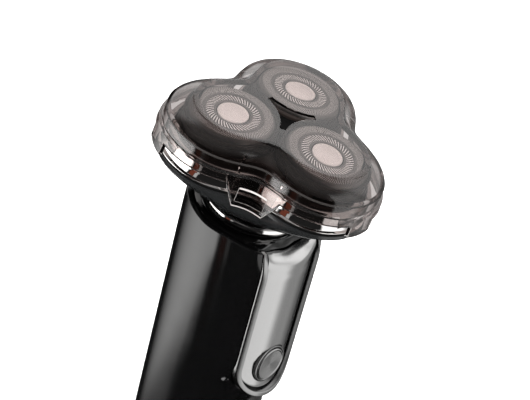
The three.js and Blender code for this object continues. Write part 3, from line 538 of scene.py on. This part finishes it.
# collar between the shell's rim and the neck
def tiltp(r, phi, h):
    x, y = r * math.cos(phi), r * math.sin(phi)
    return Vector((x, PIVOT.y + y * math.cos(LEAN) - h * math.sin(LEAN), PIVOT.z + y * math.sin(LEAN) + h * math.cos(LEAN)))
steps = [(0.0, 0.0), (0.02, 0.16), (0.06, 0.36), (0.13, 0.55), (0.22, 0.68), (0.24, 0.715), (0.46, 0.82), (0.52, 0.845), (0.54, 0.885), (0.78, 0.945), (0.80, 0.98), (0.96, 1.0), (1.0, 0.985)]
def collar_at(s, phi):
    top = Vector(upper(1.0, phi, -1.6)) + Vector((0, 0, 0.35))
    if s[0] == "t":
        q = tiltp(14.1, phi, -8.35)
        return tuple((lerp(top.x, q.x, s[1]), lerp(top.y, q.y, s[1]), lerp(top.z, q.z, s[2])))
    if s[0] == "n": return tuple(tiltp(s[1], phi, s[2]))
    q = tiltp(12.9, phi, -12); w = s[1]
    return (lerp(top.x, q.x, w), lerp(top.y, q.y, w), top.z - 3.2)
cs = [("t", a, b) for a, b in steps] + [("n", 13.95, -8.55), ("n", 13.35, -8.75), ("n", 13.25, -8.9), ("e", 0.9), ("e", 0.0)]
v, f = loft(cs, circle_phis(192), collar_at)
build("neck_collar", v, f, collar_black, "handle", sharp=20, slot="gloss_black", replaces="collar_ring")

turned("neck_chrome_ring", [(12.4, -28.1), (13.35, -28.1, .1), (13.8, -27.75, .25), (13.98, -26.9, .5), (13.82, -26.05, .2), (13.45, -25.62, .12), (12.4, -25.62)], chrome, "handle", HEAD, seg=144, n=6, slot="chrome", replaces="neck_ring")
turned("neck_sleeve", [(10.6, -33.4), (12.3, -33.4, .15), (12.3, -32.5, .2), (11.75, -32.3, .1), (11.75, -31.6, .1), (12.1, -31.4, .15), (12.1, -30.5, .15), (11.4, -30.3, .1), (11.4, -29.2, .1), (12.9, -29.0, .2), (12.9, -28.4, .12), (10.6, -28.4)],
       soft_black, "handle", HEAD, seg=144, n=4, slot="rubber", replaces="neck_boot")
turned("head_neck", [(9.3, -24.6), (11.35, -24.6, .2), (11.35, -22.2, .1), (11.2, -22.1), (11.2, -21.7), (11.35, -21.6, .1), (11.35, -15.6, .3), (10.6, -15.1, .2), (9.3, -15.1)], frame_black, "socket", HEAD, seg=120,
       slot="dark_plastic", replaces="head_socket")

# ------------------------------------------------------------------ head
def wave(c, phi):
    p = 3 * (phi + pi / 2); return c[0] + c[1] * math.cos(p) + c[2] * math.cos(2 * p) + c[3] * math.cos(3 * p)
P_C = (21.33, 5.01, -0.41, -0.01)
S_C = (27.01, 5.22, -0.78, 0.11)
def P(phi): return wave(P_C, phi)
def S(phi): return wave(S_C, phi)

def catmull(pts, n=6):
    out = []
    for i in range(len(pts) - 1):
        p0, p1, p2, p3 = pts[max(i - 1, 0)], pts[i], pts[i + 1], pts[min(i + 2, len(pts) - 1)]
        for k in range(n):
            t = k / n
            out.append(tuple(0.5 * (2 * b + (c - a) * t + (2 * a - 5 * b + 4 * c - d) * t * t + (3 * b - a - 3 * c + d) * t ** 3) for a, b, c, d in zip(p0, p1, p2, p3)))
    out.append(tuple(pts[-1])); return out
outer = catmull([(14.6, 1, 0, -23.7), (19.0, 0.78, -0.6, -20.6), (22.5, 0.55, -0.9, -17.8), (26.0, 0.25, -1.2, -16.0), (27, 0, -0.95, -14.9), (27, 0, -1.0, -14.3)], 7)
inner = catmull([(26, 0, -2.6, -14.2), (24.0, 0.3, -2.4, -15.6), (16.0, 0.8, -1.0, -20.2), (12.35, 1, 0, -22.0)], 5)
bs = [(12.35, 1, 0, -24.0), (14.2, 1, 0, -24.0), (14.45, 1, 0, -23.93)] + outer + [(27, 0, -1.1, -13.98), (27, 0, -1.3, -13.9), (26, 0, -2.5, -13.9)] + inner
v, f = loft(bs, circle_phis(216), lambda s, a: ((lerp(S(a), s[0], s[1]) + s[2]) * math.cos(a), (lerp(S(a), s[0], s[1]) + s[2]) * math.sin(a), s[3]))
build("head_bowl_shell", v, f, bowl_black, "head", HEAD, sharp=40, slot="bowl_plastic", replaces="head_bowl")
# chrome rim: two polished steps
lobed("rim_chrome", [(-1.45, -13.55), (-1.2, -13.4, .12), (-1.15, -12.95, .15), (-1.75, -12.55, .15), (-1.95, -11.3, .4), (-2.05, -8.6, .4), (-2.3, -7.35, .2), (-3.6, -7.0, .1), (-3.6, -13.55)],
      S, circle_phis(288), chrome, "head", n=4, sharp=35, slot="chrome", replaces="rim_band")

# head frame: deck and wall with three round wells
v, f = loft([("apex", -8.9), (-4.0, -8.9), (-4.0, -4.5), (-4.3, -4.2), ("apex", -4.2)], circle_phis(216), lambda s, a: ((S(a) + s[0]) * math.cos(a), (S(a) + s[0]) * math.sin(a), s[1]), closed=False)
wells = []
for side in SIDES:
    a = rad(ANGLES[side]); c = Vector((UNIT_R * math.cos(a), UNIT_R * math.sin(a), 0))
    for r, z0 in ((13.05, -7.3), (3.6, -12.0)):
        t = cylinder_tool("t_well", r, c + Vector((0, 0, z0)), c + Vector((0, 0, 3)), 120)
        t.data.transform(Matrix.Scale(1000, 4)); t.data.transform(HEAD); t.data.transform(Matrix.Scale(0.001, 4))
        wells.append(tool(t))
def frame_mods(o):
    for w in wells: boolean(o, w)
    bevel(o, 0.2, 2, 50)
build("head_deck", v, f, pod_dark, "head", HEAD, sharp=35, slot="gunmetal", replaces="head_frame", mods=frame_mods)

# black three-armed star between the heads
def star_r(phi, arc, rmax):
    r = rmax
    for side in SIDES:
        d = phi - rad(ANGLES[side]); s = arc * arc - (UNIT_R * math.sin(d)) ** 2
        if math.cos(d) > 0 and s > 0: r = min(r, UNIT_R * math.cos(d) - math.sqrt(s))
    return r
v, f = loft([("apex", -4.0), (0, -4.0), (0, -1.25), (-0.08, -1.05), (-0.3, -0.92), (-0.9, -0.9), ("apex", -0.95)], circle_phis(360),
            lambda s, a: ((star_r(a, 12.85, 9.6) + s[0]) * math.cos(a), (star_r(a, 12.85, 9.6) + s[0]) * math.sin(a), s[1]), closed=False)
build("centre_star_cover", v, f, star_black, "head", HEAD, sharp=35, slot="gloss_black", replaces="centre_star")

# ------------------------------------------------------------------ shaving units
# material index per foil face: 1 and 2 pick the painted-highlight copies of the steel for the slotted bars, 0 the plain
# steel
FOIL_HIGHLIGHT_INDEX = []
def foil_mesh():
    cols = 240
    rows = [(4.45, -0.55, 0), (4.45, -0.22, 0), (4.52, -0.12, 0), (4.75, -0.10, 0)]
    r1 = [(4.75 + (7.15 - 4.75) * i / 6, -0.10 + 0.02 * math.sin(pi * i / 6), 1) for i in range(1, 7)]
    mid = [(7.3, -0.16, 0), (7.42, -0.26, 0), (7.9, -0.26, 0), (8.02, -0.16, 0), (8.2, -0.10, 0)]
    r2 = [(8.2 + (10.45 - 8.2) * i / 6, -0.10 - 0.05 * (i / 6) ** 2, 2) for i in range(1, 7)]
    end = [(10.75, -0.28, 0), (11.05, -0.55, 0), (11.26, -0.9, 0), (11.38, -1.25, 0), (11.4, -1.5, 0), (11.4, -2.55, 3), (11.4, -2.9, 0)]
    rows += r1 + mid + r2 + end
    verts, faces = [], []
    def slant(r):
        if r <= 7.3: return 0.10 * (r - 4.75)
        if r <= 8.2: return 0.10 * 2.55
        return 0.10 * 2.55 - 0.055 * (min(r, 10.45) - 8.2)
    for r, z, k in rows:
        for i in range(cols):
            a = 2 * pi * i / cols + slant(r)
            verts.append((r * math.cos(a), r * math.sin(a), z))
    for j in range(len(rows) - 1):
        k = rows[j + 1][2]
        for i in range(cols):
            # slots: the inner ring has 48, the outer ring 120, the side wall 120
            if k == 1 and 1 <= j - 3 and rows[j][2] in (0, 1) and (i % 5) in (1, 2, 3) and rows[j][0] >= 4.9 and rows[j + 1][0] <= 7.16: continue
            if k == 2 and (i % 2) == 1 and rows[j][0] >= 8.19: continue
            if k == 3 and (i % 2) == 1: continue
            a, b = j * cols + i, j * cols + (i + 1) % cols
            faces.append((a, b, b + cols, a + cols))
            FOIL_HIGHLIGHT_INDEX.append(1 if (k == 1 and rows[j][0] >= 4.9) or (k == 3) else 2 if k == 2 and rows[j][0] >= 8.19 else 0)
    return verts, faces
def solidify(o, t):
    s = o.modifiers.new("s", "SOLIDIFY"); s.thickness = t * MM; s.offset = -1; s.use_even_offset = True; s.material_offset_rim = 3

FOIL_V, FOIL_F = foil_mesh()
def foil_mods(o):
    for m_ in (foil_bar_painted_highlight, foil_ridge_painted_highlight, foil_slot_painted_shade): o.data.materials.append(m_)
    # indices 1 and 2 put the painted highlight on the slotted bars
    for poly, k in zip(o.data.polygons, FOIL_HIGHLIGHT_INDEX): poly.material_index = k
    # the solidify rim (slot walls and sheet edges) takes material 3, the painted shade
    solidify(o, 0.22)
for side in SIDES:
    U = UNIT[side]
    disc = turned("disc_" + side, [(0, -1.0), (3.6, -1.0, .1), (4.14, -0.5, .1), (4.14, -0.12, .14), (3.9, 0.0, .1), (3.55, 0.0), (3.45, -0.05), (3.3, -0.05), (3.2, 0.0), (0, 0.03)], disc_mat, "shaving_head_" + side, U, seg=96, slot="disc", replaces="centre_disc_" + side)
    foil = build("foil_" + side + "_slotted", FOIL_V, FOIL_F, steel, "shaving_head_" + side, U, sharp=30, slot="foil_steel", replaces="foil_" + side, mods=foil_mods)
    turned("pod_" + side + "_ring", [(11.65, -1.12), (11.95, -1.1, .1), (12.3, -1.55, .25), (12.3, -2.6, .05), (12.22, -2.66), (12.22, -2.84), (12.3, -2.9, .05), (12.3, -4.4, .3), (11.9, -4.9, .2), (9.9, -4.9), (9.9, -3.2), (11.65, -3.2)],
           pod_dark, "shaving_head_" + side, U, seg=144, slot="gunmetal", replaces="pod_" + side)
    # cutter wheel under the foil: hub, spokes, ring and fifteen slanted blades
    cv, cf = [], []
    def add(v_, f_):
        o = len(cv); cv.extend(v_); cf.extend(tuple(i + o for i in q) for q in f_)
    def ring_part(pr, seg=72):
        on = pr[0][0] < 1e-9
        pts = [("apex", p[1]) if p[0] < 1e-9 else p for p in filleted(pr, 2, not on)]
        return loft(pts, circle_phis(seg), lambda s, a: (s[0] * math.cos(a), s[0] * math.sin(a), s[1]), closed=not on)
    def block(x0, x1, hy, z0, z1, ang, shear=0.0):
        v_ = []
        for z, sh in ((z0, 0.0), (z1, shear)):
            for x, y in ((x0, -hy + sh), (x1, -hy + sh), (x1, hy + sh), (x0, hy + sh)):
                v_.append((x * math.cos(ang) - y * math.sin(ang), x * math.sin(ang) + y * math.cos(ang), z))
        return v_, [(0, 3, 2, 1), (4, 5, 6, 7), (0, 1, 5, 4), (1, 2, 6, 5), (2, 3, 7, 6), (3, 0, 4, 7)]
    add(*ring_part([(6.3, -2.5, .08), (9.4, -2.5, .08), (9.4, -1.95, .08), (6.3, -1.95, .08)]))
    add(*ring_part([(0, -2.5), (3.0, -2.5, .1), (3.0, -1.9, .1), (0, -1.9)], 48))
    add(*ring_part([(2.05, -5.4), (2.65, -5.4), (2.65, -2.4), (2.05, -2.4)], 36))
    for i in range(3): add(*block(1.9, 7.0, 0.8, -2.48, -1.98, i * 2 * pi / 3))
    for i in range(15):
        add(*block(5.0, 7.1, 0.16, -2.1, -1.05, i * 2 * pi / 15, 0.3)); add(*block(8.3, 9.5, 0.14, -2.1, -1.1, (i + 0.5) * 2 * pi / 15, 0.25))
    build("cutter_wheel_" + side, cv, cf, blade_steel, "cutter_" + side, U, sharp=30, slot="foil_steel", replaces="cutter_" + side)

# ------------------------------------------------------------------ travel cap
CAP_TOP, CAP_STEP, CAP_WINDOW, CAP_POST_END, CAP_TAB_END, STAR_ARC = 1.5, -6.5, -8.9, -12.6, -15.6, 12.15
CN = 864
def near(phi, centres):
    best = 9.0
    for c in centres:
        d = (phi - rad(c) + pi) % (2 * pi) - pi
        if abs(d) < abs(best): best = d
    return best
def cap_bottom(phi):
    dv = near(phi, (-30, 90, 210)); t = abs(S(phi) * math.sin(dv)) if abs(dv) < 1 else 99
    if t < 3.85: return CAP_TAB_END, t
    if t < 6.6: return lerp(CAP_TAB_END, -10.0, (t - 3.85) / 2.75), t
    if t < 6.9: return lerp(-10.0, CAP_WINDOW, (t - 6.6) / 0.3), t
    dt = near(phi, (-90, 30, 150)); t2 = abs(S(phi) * math.sin(dt)) if abs(dt) < 1 else 99
    if t2 < 3.9: return CAP_POST_END, 50
    if t2 < 4.1: return lerp(CAP_POST_END, CAP_WINDOW, (t2 - 3.9) / 0.2), 50
    return CAP_WINDOW, t
def cap_mesh():
    cols = circle_phis(CN)
    fr = (0.0, 0.26, 0.30, 0.78, 0.82, 0.95)
    verts, rows = [], []
    grid = []
    for phi in cols:
        p, s = P(phi), S(phi); zb, t = cap_bottom(phi)
        h = star_r(phi, STAR_ARC, 7.4)
        out = [(h, CAP_TOP - 0.12), (h + 0.12, CAP_TOP), (h + 0.3, CAP_TOP)]
        for w in (0.2, 0.45, 0.7): out.append((lerp(h, p, w), CAP_TOP))
        out += [(p - 0.9, CAP_TOP), (p - 0.42, CAP_TOP), (p - 0.2, CAP_TOP - 0.05), (p - 0.03, CAP_TOP - 0.18), (p + 0.06, CAP_TOP - 0.4)]
        for w, o, z in ((0.18, 0.18, 0.52), (0.36, 0.34, 0.0), (0.55, 0.44, -0.72), (0.72, 0.42, -1.45), (0.87, 0.28, -2.25), (0.97, 0.08, -2.95)): out.append((lerp(p, s, w) + o, z))
        out += [(s + 0.03, -3.12), (s + 0.06, -3.5), (s + 0.08, -4.4), (s + 0.12, -5.6), (s + 0.15, -6.15), (s + 0.22, -6.32), (s + 0.75, -6.52), (s + 0.92, -6.66), (s + 0.98, -6.9), (s + 1.0, -7.5)]
        for i, w in enumerate(fr):
            z = lerp(-7.5, zb, w)
            pad = 0.32 if (i in (2, 3) and t < 3.6) else 0.0
            bead = 0.14 if i == 5 else 0.0
            if i: out.append((s + 1.0 + pad + bead, z))
        out += [(s + 1.02, zb - 0.02), (s + 0.85, zb - 0.06)]
        rib = 0.75 if abs(t - 5.9) < 0.32 else 0.0
        inn = [(s + 0.15, zb - 0.06)]
        for w in reversed(fr[1:]): inn.append((s + 0.0, lerp(-7.5, zb, w)))
        inn += [(s + 0.0, -7.3), (s - 0.12, -7.0), (s - 0.72, -6.78), (s - 0.86, -6.6), (s - 0.88 - rib * 0.4, -6.3), (s - 0.95 - rib, -4.8), (s - 1.05 - rib, -3.55), (s - 1.12 - rib, -3.3)]
        for w, o, z in ((0.87, -0.45, -2.7), (0.72, -0.28, -2.05), (0.5, -0.10, -1.2), (0.3, -0.45, -0.6), (0.12, -0.95, -0.2)): inn.append((lerp(p, s, w) + o - rib * (1 if w > 0.6 else 0.4 if w > 0.4 else 0), z))
        inn += [(p - 1.45, 0.15), (p - 1.75, 0.5), (p - 2.1, 0.8)]
        for w in (0.7, 0.45, 0.2): inn.append((lerp(h, p, w), 0.8))
        inn += [(h + 0.12, 0.8), (h, 0.9)]
        grid.append([(r * math.cos(phi), r * math.sin(phi), z) for r, z in out + inn])
    m = len(grid[0])
    verts = [q for col in grid for q in col]
    faces = []
    for i in range(CN):
        k = (i + 1) % CN
        for j in range(m):
            j2 = (j + 1) % m
            faces.append((i * m + j, k * m + j, k * m + j2, i * m + j2))
    return verts, faces
v, f = cap_mesh()
def cap_painted_lines(o):
    o.data.materials.append(smoke_painted_dark_line); o.data.materials.append(smoke_painted_highlight)
    pad = [cap_bottom(phi)[1] < 3.6 for phi in circle_phis(CN)]
    for i_, poly in enumerate(o.data.polygons):
        col, row = i_ // CAP_ROWS, i_ % CAP_ROWS
        # rows 16-17 get the painted dark line at the crease; rows 27-29 and 31 get the painted highlight along the
        # bottom edge and the tab outline
        if row in (16, 17): poly.material_index = 1
        elif row == 31 or (pad[col] and row in (27, 29)) or (row == 28 and pad[col] != pad[(col + 1) % CN]): poly.material_index = 2
CAP_ROWS = len(f) // CN
build("travel_cap", v, f, smoke, "cap", HEAD, sharp=26, slot="smoke_clear", replaces="protective_cap", mods=cap_painted_lines)

# ------------------------------------------------------------------ base
def base_off(phi): return -2.3 - 1.2 * smooth(-0.2, -0.8, math.sin(phi))
bp = filleted([(0.0, 0.4, 0.0), (0.0, 4.6, .1), (-2.0, 4.6, .1), (-2.0, 2.4, .1)], 3, closed=False)
lower = [("c", 0.28, 0.0)] + [("o", -9.0, 0.0), ("o", -8.9, 0.25), ("o", -8.4, 0.25), ("o", -8.3, 0.0), ("o", -0.5, 0.0), ("o", -0.16, 0.12), ("o", 0.0, 0.45), ("o", 0.0, 4.5), ("o", -0.1, 4.6), ("o", -1.9, 4.6), ("o", -2.0, 4.5), ("o", -2.0, 2.4)]
stn = [("apex", 0.0)] + [(o, z) for k, o, z in lower[1:]] + [("apex", 2.4)]
v, f = loft(stn, circle_phis(160), lambda s, a: section(s[1], a, base_off(a) + s[0]), closed=False)
build("base_plate", v, f, frame_black, "handle", sharp=35, slot="dark_plastic", replaces="base_cap")

# ------------------------------------------------------------------ CAD nodes that stay: their materials
KEEP = {"motor": inner_steel, "drive_shaft": inner_steel, "neck_post": frame_black, "gimbal_ring": nylon_mat, "gear_plate": frame_black, "drive_gear": nylon_mat,
        "tact_switch": frame_black, "circuit_board": board_mat, "battery_cell": cell_mat, "chassis": frame_black, "motor_screw_left": inner_steel, "motor_screw_right": inner_steel,
        "base_screw_left": inner_steel, "base_screw_right": inner_steel}
for side in SIDES:
    KEEP["cutter_gear_" + side] = nylon_mat; KEEP["spindle_" + side] = inner_steel; KEEP["float_spring_" + side] = inner_steel
for name, mat in KEEP.items():
    o = CAD[name]
    if not o.material_slots: o.data.materials.append(mat)
    for s_ in o.material_slots: s_.material = mat
discard(*tools)

# ------------------------------------------------------------------ floor, world, lights, camera
floor_mat, nt, b = material("floor_pale", (0.93, 0.93, 0.93), 0.9, spec=0.1)
obj = coords(nt).outputs["Object"]
nt.links.new(ramp(nt, noise(nt, obj, 6.0, 3), [(0.3, (0.925, 0.925, 0.925)), (0.7, (0.94, 0.94, 0.94))]), b.inputs["Base Color"])
me = bpy.data.meshes.new("floor"); me.from_pydata([(-4, -4, 0), (4, -4, 0), (4, 4, 0), (-4, 4, 0)], [], [(0, 1, 2, 3)])
floor = link(bpy.data.objects.new("floor", me)); me.materials.append(floor_mat); floor.visible_glossy = False; floor.visible_transmission = False
floor.location.z = -0.0002

world = bpy.data.worlds.new("studio"); scene.world = world; world.use_nodes = True
nt = world.node_tree; nt.nodes.clear()
out = nt.nodes.new("ShaderNodeOutputWorld"); bg = nt.nodes.new("ShaderNodeBackground"); bg2 = nt.nodes.new("ShaderNodeBackground")
tcw = nt.nodes.new("ShaderNodeTexCoord"); D = tcw.outputs["Generated"]
sep = nt.nodes.new("ShaderNodeSeparateXYZ"); nt.links.new(D, sep.inputs[0])
el = math_node(nt, "MULTIPLY", math_node(nt, "ARCSINE", sep.outputs["Z"]), 180 / pi)
def az_from(az0):
    rot = nt.nodes.new("ShaderNodeVectorRotate"); rot.rotation_type = "Z_AXIS"; rot.inputs["Angle"].default_value = -rad(az0)
    nt.links.new(D, rot.inputs["Vector"])
    s2 = nt.nodes.new("ShaderNodeSeparateXYZ"); nt.links.new(rot.outputs[0], s2.inputs[0])
    return math_node(nt, "MULTIPLY", math_node(nt, "ARCTAN2", s2.outputs["X"], math_node(nt, "MULTIPLY", s2.outputs["Y"], -1.0)), 180 / pi)
def add_col(a, b_):
    n = nt.nodes.new("ShaderNodeVectorMath"); n.operation = "ADD"; nt.links.new(a, n.inputs[0]); nt.links.new(b_, n.inputs[1]); return n.outputs[0]
def coloured(value, color):
    n = nt.nodes.new("ShaderNodeVectorMath"); n.operation = "SCALE"; n.inputs[0].default_value = color; nt.links.new(value, n.inputs["Scale"]); return n.outputs[0]
def patch(az0, half, soft, lo, lo_soft, hi, hi_soft, power, color=(1, 0.995, 0.985), slope=(), soft_low=None):
    """A soft lit area of the studio: centre and half width in azimuth, lower and upper edge in elevation, degrees.
    slope: (from az, to az, drop) makes the lower edge sink across the patch."""
    az = az_from(az0)
    a = math_node(nt, "MULTIPLY", maprange(nt, az, half, half + soft, 1, 0, "SMOOTHSTEP"), maprange(nt, az, -half - (soft if soft_low is None else soft_low), -half, 0, 1, "SMOOTHSTEP"))
    e = el
    for x0, x1, drop in slope: e = math_node(nt, "ADD", e, maprange(nt, az, x0 - az0, x1 - az0, 0, drop))
    b1 = maprange(nt, e, lo - lo_soft, lo, 0, 1, "SMOOTHSTEP"); b2 = maprange(nt, el, hi, hi + hi_soft, 1, 0, "SMOOTHSTEP")
    v_ = math_node(nt, "MULTIPLY", math_node(nt, "MULTIPLY", math_node(nt, "MULTIPLY", a, b1), b2), power)
    return coloured(v_, color)
STUDIO = [
    patch(-114, 10, 7, -31.4, 1.5, -15, 9, 4.2, slope=((-98, -118, 2.0), (-118, -178, 1.5)), soft_low=74),      # left wall: the band down the handle
    patch(-90, 4, 1.5, -31.4, 1.5, -15, 9, 0.13, (1.0, 0.2, 0.08)),                                  # narrow warm strip beside it
    patch(-81.5, 2.5, 1.0, -31.4, 1.5, -15, 9, 0.4),
    patch(9, 18, 16, -41, 3, 42, 16, 1.30, soft_low=6), patch(50, 14, 22, -41, 3, 42, 16, 0.42, soft_low=14), patch(104, 24, 22, -41, 3, 0, 8, 0.14),   # front panel and trim
    patch(120, 62, 30, 10, 10, 62, 16, 1.15),
]
total = STUDIO[0]
for p_ in STUDIO[1:]: total = add_col(total, p_)
total = add_col(total, coloured(maprange(nt, el, 20, 75, 0.014, 0.35, "SMOOTHSTEP"), (1, 0.98, 0.97)))
nt.links.new(total, bg.inputs["Color"]); bg.inputs["Strength"].default_value = 1.0
bg2.inputs["Color"].default_value = (1, 1, 1, 1); bg2.inputs["Strength"].default_value = 1.0
lp = nt.nodes.new("ShaderNodeLightPath"); mx = nt.nodes.new("ShaderNodeMixShader")
nt.links.new(math_node(nt, "MAXIMUM", lp.outputs["Is Glossy Ray"], lp.outputs["Is Transmission Ray"]), mx.inputs["Fac"])
# what shows through the clear cap behind the object is the same white floor
behind = patch(125, 50, 12, -75, 8, 4, 6, 1.0, (1, 1, 1))
bg3 = nt.nodes.new("ShaderNodeBackground"); nt.links.new(math_node(nt, "MULTIPLY", lp.outputs["Is Transmission Ray"], 1.0), bg3.inputs["Strength"]); nt.links.new(behind, bg3.inputs["Color"])
both = nt.nodes.new("ShaderNodeAddShader"); nt.links.new(bg.outputs[0], both.inputs[0]); nt.links.new(bg3.outputs[0], both.inputs[1])
nt.links.new(bg2.outputs[0], mx.inputs[1]); nt.links.new(both.outputs[0], mx.inputs[2]); nt.links.new(mx.outputs[0], out.inputs["Surface"])

def area(name, loc, target, size, power, glossy=True):
    l = bpy.data.lights.new(name, "AREA"); l.shape = "RECTANGLE"; l.size, l.size_y = size; l.energy = power
    o = link(bpy.data.objects.new(name, l)); o.location = loc
    o.rotation_euler = (Vector(target) - Vector(loc)).to_track_quat("-Z", "Y").to_euler()
    o.visible_camera = False; o.visible_glossy = glossy; o.visible_transmission = glossy
    return o
T = (0, 0, 0.15)
area("key", (-0.35, -0.15, 0.85), T, (0.5, 0.5), 18.0, glossy=False)
area("back", (0.35, 0.55, 0.7), T, (0.6, 0.4), 3.5, glossy=False)

cam_data = bpy.data.cameras.new("camera"); cam = link(bpy.data.objects.new("camera", cam_data))
cam_data.lens = 160.38; cam_data.sensor_width = 36; cam_data.sensor_fit = "HORIZONTAL"; cam_data.clip_start = 0.01; cam_data.clip_end = 20
cam.matrix_world = Matrix(((0.661364, 0.242975, -0.70962, -0.434238), (-0.715182, 0.489439, -0.498963, -0.307382), (0.22608, 0.837504, 0.497468, 0.4356), (0, 0, 0, 1)))
scene.camera = cam
scene.view_settings.view_transform = "Standard"
scene.view_settings.look = "None"

bpy.context.view_layer.update()
